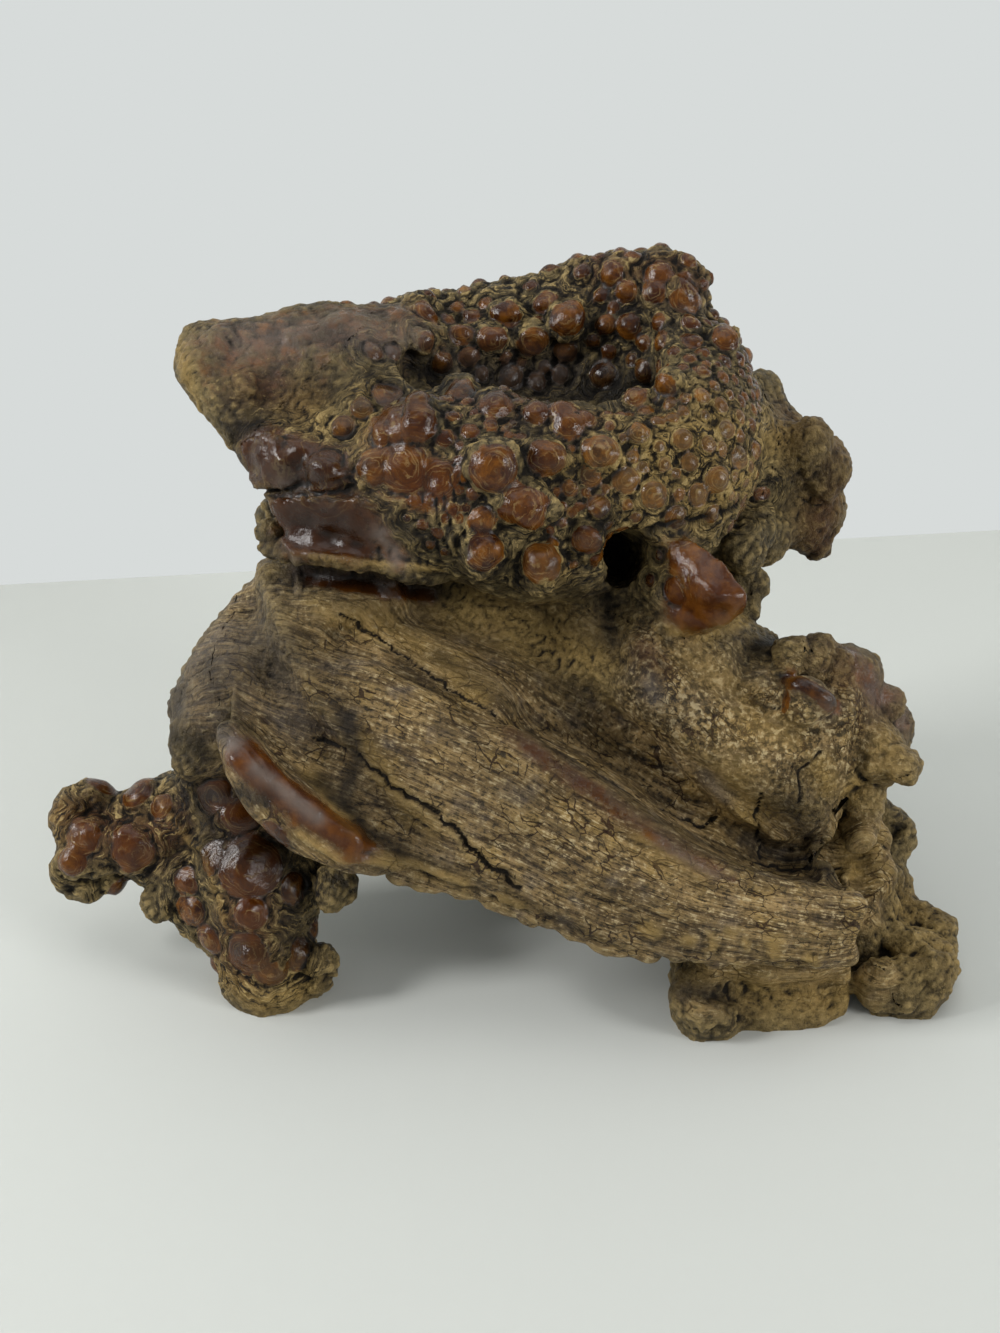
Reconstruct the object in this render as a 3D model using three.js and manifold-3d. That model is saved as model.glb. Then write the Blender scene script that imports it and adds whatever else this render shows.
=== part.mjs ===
// Burl wood root: a weathered root that stands on its own feet. A burl crown with a hollow and
// clusters of round beads sits on a broad fluted saddle, and roots run down from it on every side.
// Millimetres, +Z up, front towards -Y. The wood grew as one piece and is split at its main forks.
import * as THREE from 'three';
import { ConvexGeometry } from 'three/addons/geometries/ConvexGeometry.js';
import { LoftGeometry } from 'three/addons/geometries/LoftGeometry.js';
import { mergeVertices } from 'three/addons/utils/BufferGeometryUtils.js';
import { ImprovedNoise } from 'three/addons/math/ImprovedNoise.js';
import Module from 'manifold-3d';

const wasm = await Module();
wasm.setup();

// Driving sizes of the whole root
const SIGHT_DISTANCE = 485; // from the lens of the photograph to the middle of the root
const SIGHT_PITCH = THREE.MathUtils.degToRad(28); // how far the lens looks down
const SIGHT_AIM = new THREE.Vector3(0, 0, 78); // the point in the root that the lens looks at
const SIGHT_FOCAL = 1850; // focal length in pixels of the photograph
const SIGHT_MIDDLE = [500, 666.5]; // middle of the photograph in pixels
const FORK_GAP = 0.3; // width of the cut between two pieces
const REACH = 500; // longer than the root, for the blocks that cut it
const STAND_SHIFT = [-2, -15.8, 0]; // puts the middle of the footprint at the origin

// The line of sight, as three unit vectors and the place of the lens
const ahead = new THREE.Vector3(0, Math.cos(SIGHT_PITCH), -Math.sin(SIGHT_PITCH));
const upward = new THREE.Vector3(0, Math.sin(SIGHT_PITCH), Math.cos(SIGHT_PITCH));
const lens = SIGHT_AIM.clone().addScaledVector(ahead, -SIGHT_DISTANCE);

// The direction from the lens through a pixel of the photograph.
function sightLine(x, y) {
  const line = ahead.clone();
  line.x += (x - SIGHT_MIDDLE[0]) / SIGHT_FOCAL;
  return line.addScaledVector(upward, (SIGHT_MIDDLE[1] - y) / SIGHT_FOCAL);
}

// The point that shows at pixel (x, y) and lies `back` millimetres behind the root's middle plane.
function seen(x, y, back) {
  const line = sightLine(x, y);
  return lens.clone().addScaledVector(line, (back - lens.y) / line.y);
}

function point(place) {
  return Array.isArray(place) ? new THREE.Vector3(...place) : place;
}

// Makes a closed geometry a solid, turning its faces out if they point in.
function solid(geometry) {
  const bare = new THREE.BufferGeometry().setAttribute('position', geometry.attributes.position);
  const merged = mergeVertices(bare.setIndex(geometry.index), 1e-3);
  const corners = [];
  for (let i = 0; i < merged.index.count; i += 3) {
    const [a, b, c] = merged.index.array.slice(i, i + 3);
    if (a !== b && b !== c && c !== a) corners.push(a, b, c);
  }
  const mesh = new wasm.Mesh({
    numProp: 3,
    vertProperties: merged.attributes.position.array,
    triVerts: new Uint32Array(corners),
  });
  const made = new wasm.Manifold(mesh);
  if (made.volume() > 0) return made;
  mesh.triVerts.reverse();
  return new wasm.Manifold(mesh);
}

// A solid skinned over sections, with each end drawn in to the middle of its last section.
function skinned(sections) {
  const ends = [sections[0], sections.at(-1)].map((section) => {
    const middle = section.reduce((sum, p) => sum.add(p), new THREE.Vector3());
    return section.map(() => middle.clone().divideScalar(section.length));
  });
  return solid(new LoftGeometry([ends[0], ...sections, ends[1]]));
}

function fuse(solids) {
  return solids.reduce((joined, next) => joined.add(next));
}

function meshOf(shape, name, colour) {
  const { vertProperties, triVerts } = shape.getMesh();
  const geometry = new THREE.BufferGeometry();
  geometry.setAttribute('position', new THREE.BufferAttribute(new Float32Array(vertProperties), 3));
  geometry.setIndex(new THREE.BufferAttribute(new Uint32Array(triVerts), 1));
  geometry.computeVertexNormals();
  const material = new THREE.MeshStandardMaterial({ color: colour, roughness: 0.6, metalness: 0 });
  const mesh = new THREE.Mesh(geometry, material);
  mesh.name = name;
  return mesh;
}

const noise = new ImprovedNoise();

// Moves a point out from `centre` by gentle lumps: two sizes of noise added together.
function lumpy(p, centre, height) {
  const lump = noise.noise(p.x / 19, p.y / 19, p.z / 19) + 0.5 * noise.noise(p.x / 8, p.y / 8, p.z / 8);
  return p.addScaledVector(p.clone().sub(centre).normalize(), lump * height);
}

// A root or spur: oval sections carried along a smooth curve through its stations.
// A station is [place, half width, half thickness], and the width lies along `across`.
function limb(stations, { across = [0, 1, 0], sides = 12, rings = 8, lumps = 2 } = {}) {
  const path = new THREE.CatmullRomCurve3(stations.map(([place]) => point(place)));
  const girths = stations.map(([, halfWidth, halfThickness = halfWidth]) => [halfWidth, halfThickness, 0]);
  const girth = new THREE.CatmullRomCurve3(girths.map(point));
  const sections = [];
  for (let ring = 0; ring <= rings; ring++) {
    const centre = path.getPoint(ring / rings);
    const along = path.getTangent(ring / rings);
    const size = girth.getPoint(ring / rings);
    const wide = point(across);
    wide.addScaledVector(along, -along.dot(wide)).normalize();
    const thick = along.clone().cross(wide);
    const section = [];
    for (let side = 0; side < sides; side++) {
      const turn = (side / sides) * 2 * Math.PI;
      const p = centre.clone().addScaledVector(wide, size.x * Math.cos(turn));
      section.push(lumpy(p.addScaledVector(thick, size.y * Math.sin(turn)), centre, lumps));
    }
    sections.push(section);
  }
  return skinned(sections);
}

// A round knob.
function knob(place, radius, detail = 1) {
  const ball = new THREE.IcosahedronGeometry(radius, detail);
  const centre = point(place);
  const spots = ball.attributes.position;
  for (let i = 0; i < spots.count; i++) {
    const p = new THREE.Vector3().fromBufferAttribute(spots, i).add(centre);
    spots.setXYZ(i, ...lumpy(p, centre, radius * 0.12));
  }
  return solid(ball);
}

// A lump with flat faces between its corner points.
function block(corners) {
  return solid(new ConvexGeometry(corners.map(point)));
}

// The crown is a domed burl. CROWN_EDGE gives, every 30 degrees from +X round towards +Y, the reach
// of its widest ring, the height of that ring, the reach of its rim and the height of the rim.
const CROWN_MIDDLE = [8, 27];
const CROWN_EDGE = [
  [62, 126, 46, 157],
  [61, 136, 52, 170.5],
  [55, 139, 40, 173],
  [50, 138, 31, 168],
  [52, 138, 35, 166],
  [55, 138, 44, 163],
  [60, 140, 42, 156],
  [70, 130, 44, 149],
  [54, 122, 36, 151],
  [47, 116, 28, 149],
  [49, 115, 32, 150],
  [57, 119, 41, 152],
];
// Rings of the crown from the neck to the top: share of the way from the middle to the widest
// ring, share of the way in from there to the rim, millimetres below the ring, share of the rise.
const CROWN_RINGS = [
  [0.62, 0, 22, 0],
  [0.86, 0, 11, 0],
  [0.98, 0, 3, 0],
  [1, 0.02, 0, 0.2],
  [1, 0.28, 0, 0.55],
  [1, 0.62, 0, 0.85],
  [1, 1, 0, 1],
  [1, 1.7, 0, 0.97],
];

function crownDome() {
  const sides = 24;
  const widest = CROWN_EDGE.map(([reach, height]) => new THREE.Vector3(reach, height, 0));
  const top = CROWN_EDGE.map(([, , reach, height]) => new THREE.Vector3(reach, height, 0));
  const wide = new THREE.CatmullRomCurve3(widest, true);
  const rim = new THREE.CatmullRomCurve3(top, true);
  const sections = CROWN_RINGS.map(([out, inward, below, rise]) => {
    const section = [];
    for (let side = 0; side < sides; side++) {
      const turn = (side / sides) * 2 * Math.PI;
      const [low, high] = [wide.getPoint(side / sides), rim.getPoint(side / sides)];
      const reach = Math.max(out * THREE.MathUtils.lerp(low.x, high.x, inward), 6);
      const height = THREE.MathUtils.lerp(low.y, high.y, rise) - below;
      const p = new THREE.Vector3(reach * Math.cos(turn), reach * Math.sin(turn), height);
      p.add(new THREE.Vector3(...CROWN_MIDDLE, 0));
      section.push(lumpy(p, new THREE.Vector3(...CROWN_MIDDLE, 130), 2.5));
    }
    return section;
  });
  return skinned(sections);
}

// The saddle: a broad sheet of old root wood, worked out between rails that run its length.
// The front rails are [pixel x, pixel y, millimetres back], from the top down to the sharp edge.
const SADDLE_FRONT = [
  [[262, 575, 4], [310, 580, 2], [400, 598, 2], [500, 630, -2],
    [600, 668, -8], [690, 735, -14], [780, 825, -20], [852, 850, -22]],
  [[258, 615, -4], [310, 618, -12], [400, 652, -19], [500, 695, -24],
    [600, 760, -29], [700, 830, -31], [790, 872, -30], [857, 880, -30]],
  [[244, 660, -12], [306, 668, -22], [400, 700, -34], [500, 745, -42],
    [600, 805, -47], [700, 858, -49], [790, 893, -49], [858, 898, -46]],
  [[230, 700, -26], [298, 740, -34], [400, 775, -45], [500, 820, -52],
    [600, 872, -56], [700, 908, -58], [790, 930, -58], [858, 935, -52]],
  [[220, 726, -38], [288, 812, -46], [380, 862, -52], [500, 901, -56],
    [600, 946, -59], [700, 970, -60], [790, 976, -59], [858, 972, -52]],
];
const SADDLE_BACK = [26, -10]; // how far back the sheet runs into the trunk, and at its right end
const SADDLE_WALL = 11; // thickness of the sheet at its lower edge

function saddle() {
  const [steps, across] = [12, 10];
  const rails = SADDLE_FRONT.map((rail) => new THREE.CatmullRomCurve3(rail.map((spot) => seen(...spot))));
  const sections = [];
  for (let step = 0; step <= steps; step++) {
    const at = rails.map((rail) => rail.getPoint(step / steps));
    const [top, , , low, edge] = at;
    const front = new THREE.CatmullRomCurve3(at).getPoints(across);
    const under = edge.clone().lerp(low, 0.35).add(new THREE.Vector3(0, SADDLE_WALL, 0));
    const back = THREE.MathUtils.lerp(...SADDLE_BACK, (step / steps) ** 3);
    const deep = new THREE.Vector3(top.x, back, (top.z + low.z) / 2);
    const behind = new THREE.Vector3(top.x, back, top.z - 4);
    const centre = top.clone().lerp(low, 0.5).setY(-10);
    sections.push([...front.map((p) => lumpy(p, centre, 1.2)), under, deep, behind]);
  }
  return skinned(sections);
}

const crown = fuse([
  crownDome(),
  // broad spur at the upper left, leaning towards the front
  limb([
    [[-12, 26, 139], 28, 14], [[-38, 27, 145], 27, 13], [[-57, 27, 147.5], 22, 10],
    [[-70, 29, 151], 14, 8], [[-78, 30, 154], 9, 6.5], [[-82.5, 30, 154.5], 5, 4],
  ], { across: [0, 0.8, 0.6], sides: 12 }),
  // arm at the upper right with a hooked end
  limb([
    [[44, 36, 130], 23, 18], [[62, 41, 124], 21, 17], [[77, 44, 114], 17, 15],
    [[85, 43, 103], 13, 11], [[83, 41, 95], 8, 7],
  ], { sides: 11 }),
  // flat-sided corner under the spur, and the shelf below it
  block([
    seen(240, 450, 9), seen(292, 430, 2), seen(345, 484, -11), seen(376, 558, -17), seen(300, 549, -14),
    seen(262, 500, -4), [-40, 24, 104], [-14, 20, 104], [-18, 10, 142], [-52, 30, 135], [-56, 24, 118],
  ]),
  limb([
    [seen(264, 548, -4), 4, 2.5], [seen(300, 553, -12), 4, 2.5], [seen(370, 563, -16), 5, 3],
    [seen(440, 575, -12), 5, 3],
  ], { rings: 5, sides: 8, lumps: 0.5 }),
]);

// Three-sided knob beside the dark hole
const coneKnob = block([
  seen(690, 538, -12), seen(716, 562, -20), seen(751, 604, -28), seen(740, 626, -26), seen(706, 637, -22),
  seen(668, 630, -18), seen(650, 604, -14), seen(652, 566, -10), [30, 6, 112], [36, 8, 98], [44, 6, 108],
]);

const trunk = limb([
  [[3, 24, 122], 31, 58], [[3, 25, 100], 29, 61], [[6, 22, 76], 30, 60], [[18, 20, 54], 30, 56],
  [[30, 20, 38], 22, 44], [[34, 20, 30], 12, 28],
], { sides: 16, rings: 7 });

// Heavy knob at the right, with lobes at its end
const rightKnob = fuse([
  limb([
    [[14, 16, 96], 18, 18], [[34, 3, 84], 23, 22], [[54, -6, 71], 26, 24], [[72, -8, 63], 26, 22.5],
    [[88, -6, 63], 22, 20], [[97, -4, 63], 13, 12],
  ], { sides: 11, rings: 7 }),
  limb([
    [[24, 6, 96], 10, 10], [[36, -12, 85], 13, 13], [[54, -20, 69], 14, 15], [[72, -24, 54], 12, 14],
    [[84, -22, 42], 6, 8],
  ], { sides: 10, rings: 6 }),
  knob(seen(850, 678, -6), 9),
  knob(seen(874, 730, 0), 11),
  knob(seen(866, 752, -16), 11),
  knob(seen(805, 700, -26), 7),
]);

// Root at the left: a flange from the trunk, then a forked foot with knobs
const leftRoot = fuse([
  limb([
    [[-34, 14, 104], 28, 18], [[-52, 7, 92], 26, 14], [[-67, -1, 78], 22, 14], [[-72, -7, 67], 17, 14],
    [[-68, -13, 48], 16, 15], [[-65, -21, 31], 18, 18], [[-62, -31, 14], 16, 14], [[-62, -35, -4], 13, 12],
  ], { sides: 10, rings: 11 }),
  limb([[[-62, -10, 42], 15], [[-82, -13, 40], 14], [[-98, -16, 36], 13], [[-109, -20, 34], 9]],
    { sides: 10, rings: 5 }),
  limb([[[-96, -18, 34], 8], [[-84, -20, 26], 12], [[-72, -26, 18], 12], [[-64, -34, 8], 10]],
    { sides: 8, rings: 5 }),
  knob([-80, -8, 71], 7),
  knob([-109.5, -14, 39.5], 10),
  knob([-109.5, -22, 28], 10.5),
  knob([-44, -15, 31], 9),
  knob([-42, -10, 37], 7),
  knob([-58, 22, 110], 7),
]);

// Two feet at the right: one under the end of the saddle, and a knobbed one behind it
const rightFeet = fuse([
  limb([[[64, -36, 36], 11, 20], [[67, -38, 24], 14, 24], [[68, -40, 8], 13, 24], [[68, -42, -6], 13, 24]],
    { sides: 10, rings: 4 }),
  knob([52, -50, 8], 10),
  limb([
    [[84, 2, 58], 17, 15], [[92, -5, 42], 15, 13], [[97, -12, 24], 16, 14], [[100, -18, 6], 17, 15],
    [[100, -18, -6], 16, 13],
  ], { sides: 11, rings: 6 }),
  knob([112, -26, 11], 11.5),
  knob([106, -6, 30], 9),
]);

// Two roots that run down the back
const backRoots = fuse([
  limb([
    [[-4, 38, 124], 28, 16], [[-6, 44, 100], 26, 17], [[-8, 50, 70], 24, 20], [[-6, 62, 38], 20, 18],
    [[-8, 74, 14], 18, 15], [[-10, 78, -5], 15, 13],
  ], { across: [1, 0, 0], sides: 11, lumps: 3 }),
  limb([[[-8, 66, 28], 10], [[-24, 72, 14], 10], [[-34, 76, -3], 9]],
    { across: [1, 0, 0], sides: 9, rings: 4 }),
  limb([
    [[38, 38, 122], 26, 16], [[42, 42, 96], 24, 17], [[48, 46, 66], 20, 18], [[60, 56, 36], 16, 15],
    [[70, 64, 14], 15, 13], [[74, 66, -5], 13, 11],
  ], { across: [1, 0, 0], sides: 11, lumps: 3 }),
  knob([8, 54, 82], 13),
  knob([56, 50, 58], 11),
]);

// Lip: the rolled edge at the left end of the saddle
const lip = limb([
  [seen(225, 722, -38), 4], [seen(255, 775, -44), 7.5], [seen(310, 825, -50), 8], [seen(370, 850, -52), 6],
  [seen(400, 862, -52), 3],
], { sides: 8, rings: 6, lumps: 0.6 });

// The hollow in the top of the crown, a shallow dish with two pits in its floor
const hollow = fuse([
  limb([[[14, 27, 176], 26, 36], [[12, 26, 158], 22, 33], [[12, 25, 147], 17, 27], [[14, 25, 139], 10, 18]],
    { sides: 14, rings: 5, lumps: 3 }),
  limb([[[32, 22, 160], 10], [[31, 22, 142], 11], [[29, 22, 128], 9], [[28, 22, 120], 5]],
    { sides: 9, rings: 5, lumps: 1 }),
  limb([[[-18, 22, 160], 7], [[-17, 21, 145], 7], [[-15, 21, 134], 4]],
    { sides: 8, rings: 4, lumps: 1 }),
]);

// The dark hole under the front of the crown
const darkHole = limb([[seen(622, 552, -40), 8], [seen(625, 555, -12), 7.5], [[29, 12, 108], 5]],
  { sides: 10, rings: 4, lumps: 1 });

// All the space on the far side of a plane that stands at `place` and faces `facing`. The space
// begins `gap` millimetres beyond the plane.
function beyond(place, facing, gap = 0) {
  const turn = new THREE.Quaternion();
  turn.setFromUnitVectors(new THREE.Vector3(0, 0, 1), point(facing).normalize());
  const box = new THREE.BoxGeometry(REACH, REACH, REACH).translate(0, 0, REACH / 2 + gap);
  return solid(box.applyQuaternion(turn).translate(...place));
}

// Beads that the photograph shows: [pixel x, pixel y, pixels across].
const BEADS = [
  [494, 467, 51], [523, 506, 53], [547, 457, 41], [482, 520, 30], [484, 551, 42], [541, 563, 42],
  [586, 539, 32], [600, 506, 26], [496, 404, 36], [460, 392, 36], [536, 412, 28], [568, 422, 32],
  [419, 422, 44], [600, 451, 40], [655, 496, 32], [492, 335, 32], [533, 339, 34], [568, 312, 40],
  [635, 396, 26], [666, 386, 28], [718, 480, 30], [660, 264, 36], [690, 276, 46], [726, 330, 30],
  [426, 297, 34], [506, 290, 36], [546, 278, 32], [611, 264, 30],
];
const BEAD_SWELL = 1.3; // how much wider a bead is than the part of it that shows
const BEAD_SUNK = 0.3; // how far a bead's middle lies under the surface, as a share of its radius
const FINE_BEAD = 6.6; // beads of a larger radius get a finer ball
const HIDDEN_BEADS = 22; // tried all round the crown; only those at the back are kept
const BACK_OF_CROWN = 40; // how far back a bead has to be to count as hidden
const GOLDEN_TURN = THREE.MathUtils.degToRad(137.5);

// The bead that grows where a line from `from` meets the surface; size gives its radius there.
function beadAt(surface, from, direction, size) {
  const ray = new THREE.Raycaster(from, direction.clone().normalize());
  const [hit] = ray.intersectObject(surface);
  const radius = size(hit.point);
  return { place: hit.point.clone().addScaledVector(ray.ray.direction, BEAD_SUNK * radius), radius };
}

function beads(surface) {
  const shown = BEADS.map(([x, y, across]) => {
    const perPixel = (p) => p.clone().sub(lens).dot(ahead) / SIGHT_FOCAL;
    return beadAt(surface, lens, sightLine(x, y), (p) => (BEAD_SWELL * across * perPixel(p)) / 2);
  });
  const hidden = Array.from({ length: HIDDEN_BEADS }, (_, i) => {
    const out = new THREE.Vector3(Math.cos(i * GOLDEN_TURN), Math.sin(i * GOLDEN_TURN), 0);
    const from = new THREE.Vector3(...CROWN_MIDDLE, 118 + ((i * 29) % 43)).addScaledVector(out, REACH);
    return beadAt(surface, from, out.negate(), () => 4.5 + ((i * 5) % 7) / 2);
  });
  return [...shown, ...hidden.filter(({ place }) => place.y > BACK_OF_CROWN)];
}

const grown = fuse([crown, trunk, coneKnob, saddle(), rightKnob, leftRoot, rightFeet, backRoots, lip])
  .subtract(hollow)
  .subtract(darkHole)
  .subtract(beyond([0, 0, 0], [0, 0, -1]));
const surface = meshOf(grown, 'surface', 0);
const rounds = beads(surface).map(({ place, radius }) => knob(place, radius, radius > FINE_BEAD ? 1 : 0));
const whole = fuse([grown, ...rounds]);

// Cuts a region off a shape, with half the gap taken from either side of the cut.
function fork(shape, region) {
  return [shape.intersect(region(FORK_GAP / 2)), shape.subtract(region(-FORK_GAP / 2))];
}

// The main forks, from the top down
const [upper, lower] = fork(whole, (gap) => beyond([-56, -8, 110], [0.15, 0.1, 1], gap));
const [leftSpur, crownAndArm] = fork(upper, (gap) => beyond([-55, 0, 146], [-0.6, 0, 0.8], gap));
const [rightSpur, burlCrown] = fork(crownAndArm, (gap) => beyond([65, 38, 126], [0.85, 0.4, -0.35], gap));
const [back, front] = fork(lower, (gap) => beyond([0, 48, 60], [0, 0.9, -0.45], gap));
const [backLeft, backRight] = fork(back, (gap) => beyond([24, 0, 0], [-1, 0, 0], gap));
const [leftFoot, middle] = fork(front, (gap) => fuse([
  beyond([-62, -4, 76], [-0.8, 0.35, -0.5], gap),
  beyond([-30, 0, 0], [-1, 0, 0], gap).intersect(beyond([0, 0, 46], [0, 0, -1], gap)),
]));
const [rightFoot, saddleTrunk] = fork(middle, (gap) => (
  beyond([86, 0, 52], [0.5, 0, -0.87], gap).intersect(beyond([90, -36, 0], [0.7, 0.7, 0], gap))
));

const root = new THREE.Group();
root.add(
  meshOf(burlCrown, 'burl_crown', 0x6e3a1c),
  meshOf(leftSpur, 'left_spur', 0x6a4a2e),
  meshOf(rightSpur, 'right_spur', 0x6a4a2e),
  meshOf(saddleTrunk, 'saddle_trunk', 0x8b7650),
  meshOf(leftFoot, 'left_root', 0x6b3a1e),
  meshOf(rightFoot, 'right_root', 0x7d6842),
  meshOf(backLeft, 'back_left_root', 0x75603f),
  meshOf(backRight, 'back_right_root', 0x75603f),
);
root.position.set(...STAND_SHIFT);
export default root;
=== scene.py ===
# %% [markdown]
# # Burl wood root
#
# The object is a weathered root that stands on its own splayed feet. Its crown is a burl: a growth
# whose grain swirls round hundreds of buds, which show as round polished beads in rough bark.
# Below the crown lies a broad saddle of bare root wood, fluted and cracked along its grain.
#
# One living thing has no flat faces and no repeated parts, so this lesson works in three passes.
# It wraps the coarse solids in one smooth skin, lets beads and ridges grow on that skin, and then
# moves each point of a fine skin by patterns that follow the bead it lies by or the grain.

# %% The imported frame
import math

import bmesh
import bpy
import numpy as np
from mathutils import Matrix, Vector
from mathutils.bvhtree import BVHTree


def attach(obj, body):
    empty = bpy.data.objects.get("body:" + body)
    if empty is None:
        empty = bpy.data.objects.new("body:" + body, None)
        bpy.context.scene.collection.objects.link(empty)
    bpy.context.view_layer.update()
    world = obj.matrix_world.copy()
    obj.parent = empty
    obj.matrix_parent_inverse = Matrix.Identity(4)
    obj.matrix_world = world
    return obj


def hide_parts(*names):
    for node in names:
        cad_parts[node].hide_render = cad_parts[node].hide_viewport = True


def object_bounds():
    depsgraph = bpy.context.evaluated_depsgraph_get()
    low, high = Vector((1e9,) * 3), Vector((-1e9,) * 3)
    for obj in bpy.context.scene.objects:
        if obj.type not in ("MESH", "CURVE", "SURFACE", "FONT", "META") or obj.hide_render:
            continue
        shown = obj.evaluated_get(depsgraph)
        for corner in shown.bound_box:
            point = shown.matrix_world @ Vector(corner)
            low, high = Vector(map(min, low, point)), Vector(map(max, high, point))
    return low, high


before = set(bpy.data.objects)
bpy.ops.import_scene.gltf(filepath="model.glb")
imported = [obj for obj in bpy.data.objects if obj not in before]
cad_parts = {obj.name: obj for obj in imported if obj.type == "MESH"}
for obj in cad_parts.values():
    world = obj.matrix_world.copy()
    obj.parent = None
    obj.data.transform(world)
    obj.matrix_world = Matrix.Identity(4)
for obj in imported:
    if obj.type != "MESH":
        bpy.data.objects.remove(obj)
cad_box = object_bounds()
MM = 0.001  # every shape below is worked out in millimetres
low_corner, high_corner = (np.array(corner) / MM for corner in cad_box)
print("solids:", len(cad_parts), "box in mm:", low_corner.round(1), high_corner.round(1))

# %% [markdown]
# ## Where the photograph was taken from
#
# The camera looks down at the root by 28 degrees from about half a metre away. With its place and
# focal length known, a pixel of the photograph is a line of sight, and where that line meets the
# skin is the place of whatever shows at that pixel. So beads, cracks, stains, painted shade and
# painted highlights are listed by the pixel where they are seen.

# %% The line of sight through a pixel
LENS = np.array([-2.0, -444.03, 305.69])
PITCH = math.radians(28)
PHOTO_HEIGHT = 1333  # pixels, the photograph's longer side
FOCAL = 1850.0  # pixels
MIDDLE = (500.0, 666.5)  # pixels
AHEAD = np.array([0, math.cos(PITCH), -math.sin(PITCH)])
UPWARD = np.array([0, math.sin(PITCH), math.cos(PITCH)])
MIDDLE_PLANE = -15.8  # mm; an upright plane through the root, from which depths are counted
ROOT_AWAY = 470  # mm from the lens to the root, along the middle of the view


def sight(x, y):
    """The direction through pixel (x, y): straight ahead, plus the offsets over the focal length."""
    across = (x - MIDDLE[0]) / FOCAL
    return AHEAD + np.array([across, 0, 0]) + UPWARD * (MIDDLE[1] - y) / FOCAL


def seen(x, y, back):
    """The point at pixel (x, y) that lies `back` mm behind the root's middle plane."""
    line = sight(x, y)
    return LENS + line * (MIDDLE_PLANE + back - LENS[1]) / line[1]


print("a pixel at the root is about", round(ROOT_AWAY / FOCAL, 3), "mm")

# %% [markdown]
# ## Tools for skins
#
# A skin is two arrays: the places of its points, and four point numbers for each square face.
# In such a net each point appears in a face once for each of its neighbours, so a few sums over
# the faces give the mean of the neighbours, and with it smoothing, normals and hollows.

# %% Meshes to arrays and back
def put_mesh(name, points, faces):
    """A Blender mesh from an array of points in mm and an array of faces."""
    mesh = bpy.data.meshes.new(name)
    mesh.vertices.add(len(points))
    mesh.vertices.foreach_set("co", (points * MM).astype(np.float32).ravel())
    mesh.loops.add(faces.size)
    mesh.loops.foreach_set("vertex_index", faces.astype(np.int32).ravel())
    mesh.polygons.add(len(faces))
    mesh.polygons.foreach_set("loop_start", np.arange(0, faces.size, faces.shape[1], dtype=np.int32))
    mesh.update(calc_edges=True)
    return mesh


def take_mesh(mesh, corners):
    """The points in mm and the faces of a mesh whose faces all have that many corners."""
    points = np.empty(len(mesh.vertices) * 3, np.float32)
    mesh.vertices.foreach_get("co", points)
    numbers = np.empty(len(mesh.loops), np.int32)
    mesh.loops.foreach_get("vertex_index", numbers)
    return points.reshape(-1, 3).astype(float) / MM, numbers.reshape(-1, corners)


def joined(shapes):
    """Several shapes as one pair of arrays, each shape's point numbers moved past the last one's."""
    starts = np.cumsum([0] + [len(points) for points, _ in shapes[:-1]])
    faces = np.concatenate([faces + start for (_, faces), start in zip(shapes, starts)])
    return np.concatenate([points for points, _ in shapes]), faces


def spread(values, count):
    """Evenly spaced values along the first axis of an array, straight between its own."""
    at = np.linspace(0, len(values) - 1, count)
    low = np.minimum(at.astype(int), len(values) - 2)
    share = (at - low).reshape([-1] + [1] * (values.ndim - 1))
    return values[low] * (1 - share) + values[low + 1] * share


# %% One skin round overlapping shapes
def one_skin(points, faces, cell):
    """Wraps closed shapes that overlap in one skin of squares about `cell` mm wide."""
    wrapped = bpy.data.objects.new("skin", put_mesh("skin", points, faces))
    bpy.context.scene.collection.objects.link(wrapped)
    remesh = wrapped.modifiers.new("Wrap", "REMESH")
    remesh.mode = "VOXEL"
    remesh.voxel_size = cell * MM
    depsgraph = bpy.context.evaluated_depsgraph_get()
    made = take_mesh(wrapped.evaluated_get(depsgraph).to_mesh(), 4)
    bpy.data.objects.remove(wrapped)
    return largest_part(*made)


def largest_part(points, faces):
    """Drops loose bits: every point takes the lowest number that it can reach along the faces."""
    label = np.arange(len(points))
    while True:
        lowest = label.copy()
        np.minimum.at(lowest, faces.ravel(), np.repeat(label[faces].min(axis=1), faces.shape[1]))
        lowest = lowest[lowest]
        if np.array_equal(lowest, label):
            break
        label = lowest
    keep = label == np.bincount(label).argmax()
    number = np.cumsum(keep) - 1
    return points[keep], number[faces[keep[faces[:, 0]]]]


# %% Smoothing and normals
def neighbour_mean(values, faces):
    """For each point, the mean of a value over its neighbours along the edges of the faces."""
    start, end = faces.ravel(), np.roll(faces, -1, axis=1).ravel()
    count = np.maximum(np.bincount(start, minlength=len(values)), 1)
    columns = values.reshape(len(values), -1).T
    sums = [np.bincount(start, weights=column[end], minlength=len(values)) for column in columns]
    return (np.stack(sums, axis=1) / count[:, None]).reshape(values.shape)


def smoothed(values, faces, rounds):
    """Moves each value half of the way to its neighbours' mean, again and again."""
    for _ in range(rounds):
        values = 0.5 * (values + neighbour_mean(values, faces))
    return values


SOLE_TOP = 1.2  # mm


def relaxed(points, faces, rounds):
    """Smooths without shrinking: a step towards the neighbours' mean, then a larger step back.
    Points under SOLE_TOP belong to the flat soles and stay on the ground."""
    floor = points[:, 2] < SOLE_TOP
    for _ in range(rounds):
        points = points + 0.5 * (neighbour_mean(points, faces) - points)
        points = points - 0.52 * (neighbour_mean(points, faces) - points)
        points[floor, 2] = 0
    return points


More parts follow.
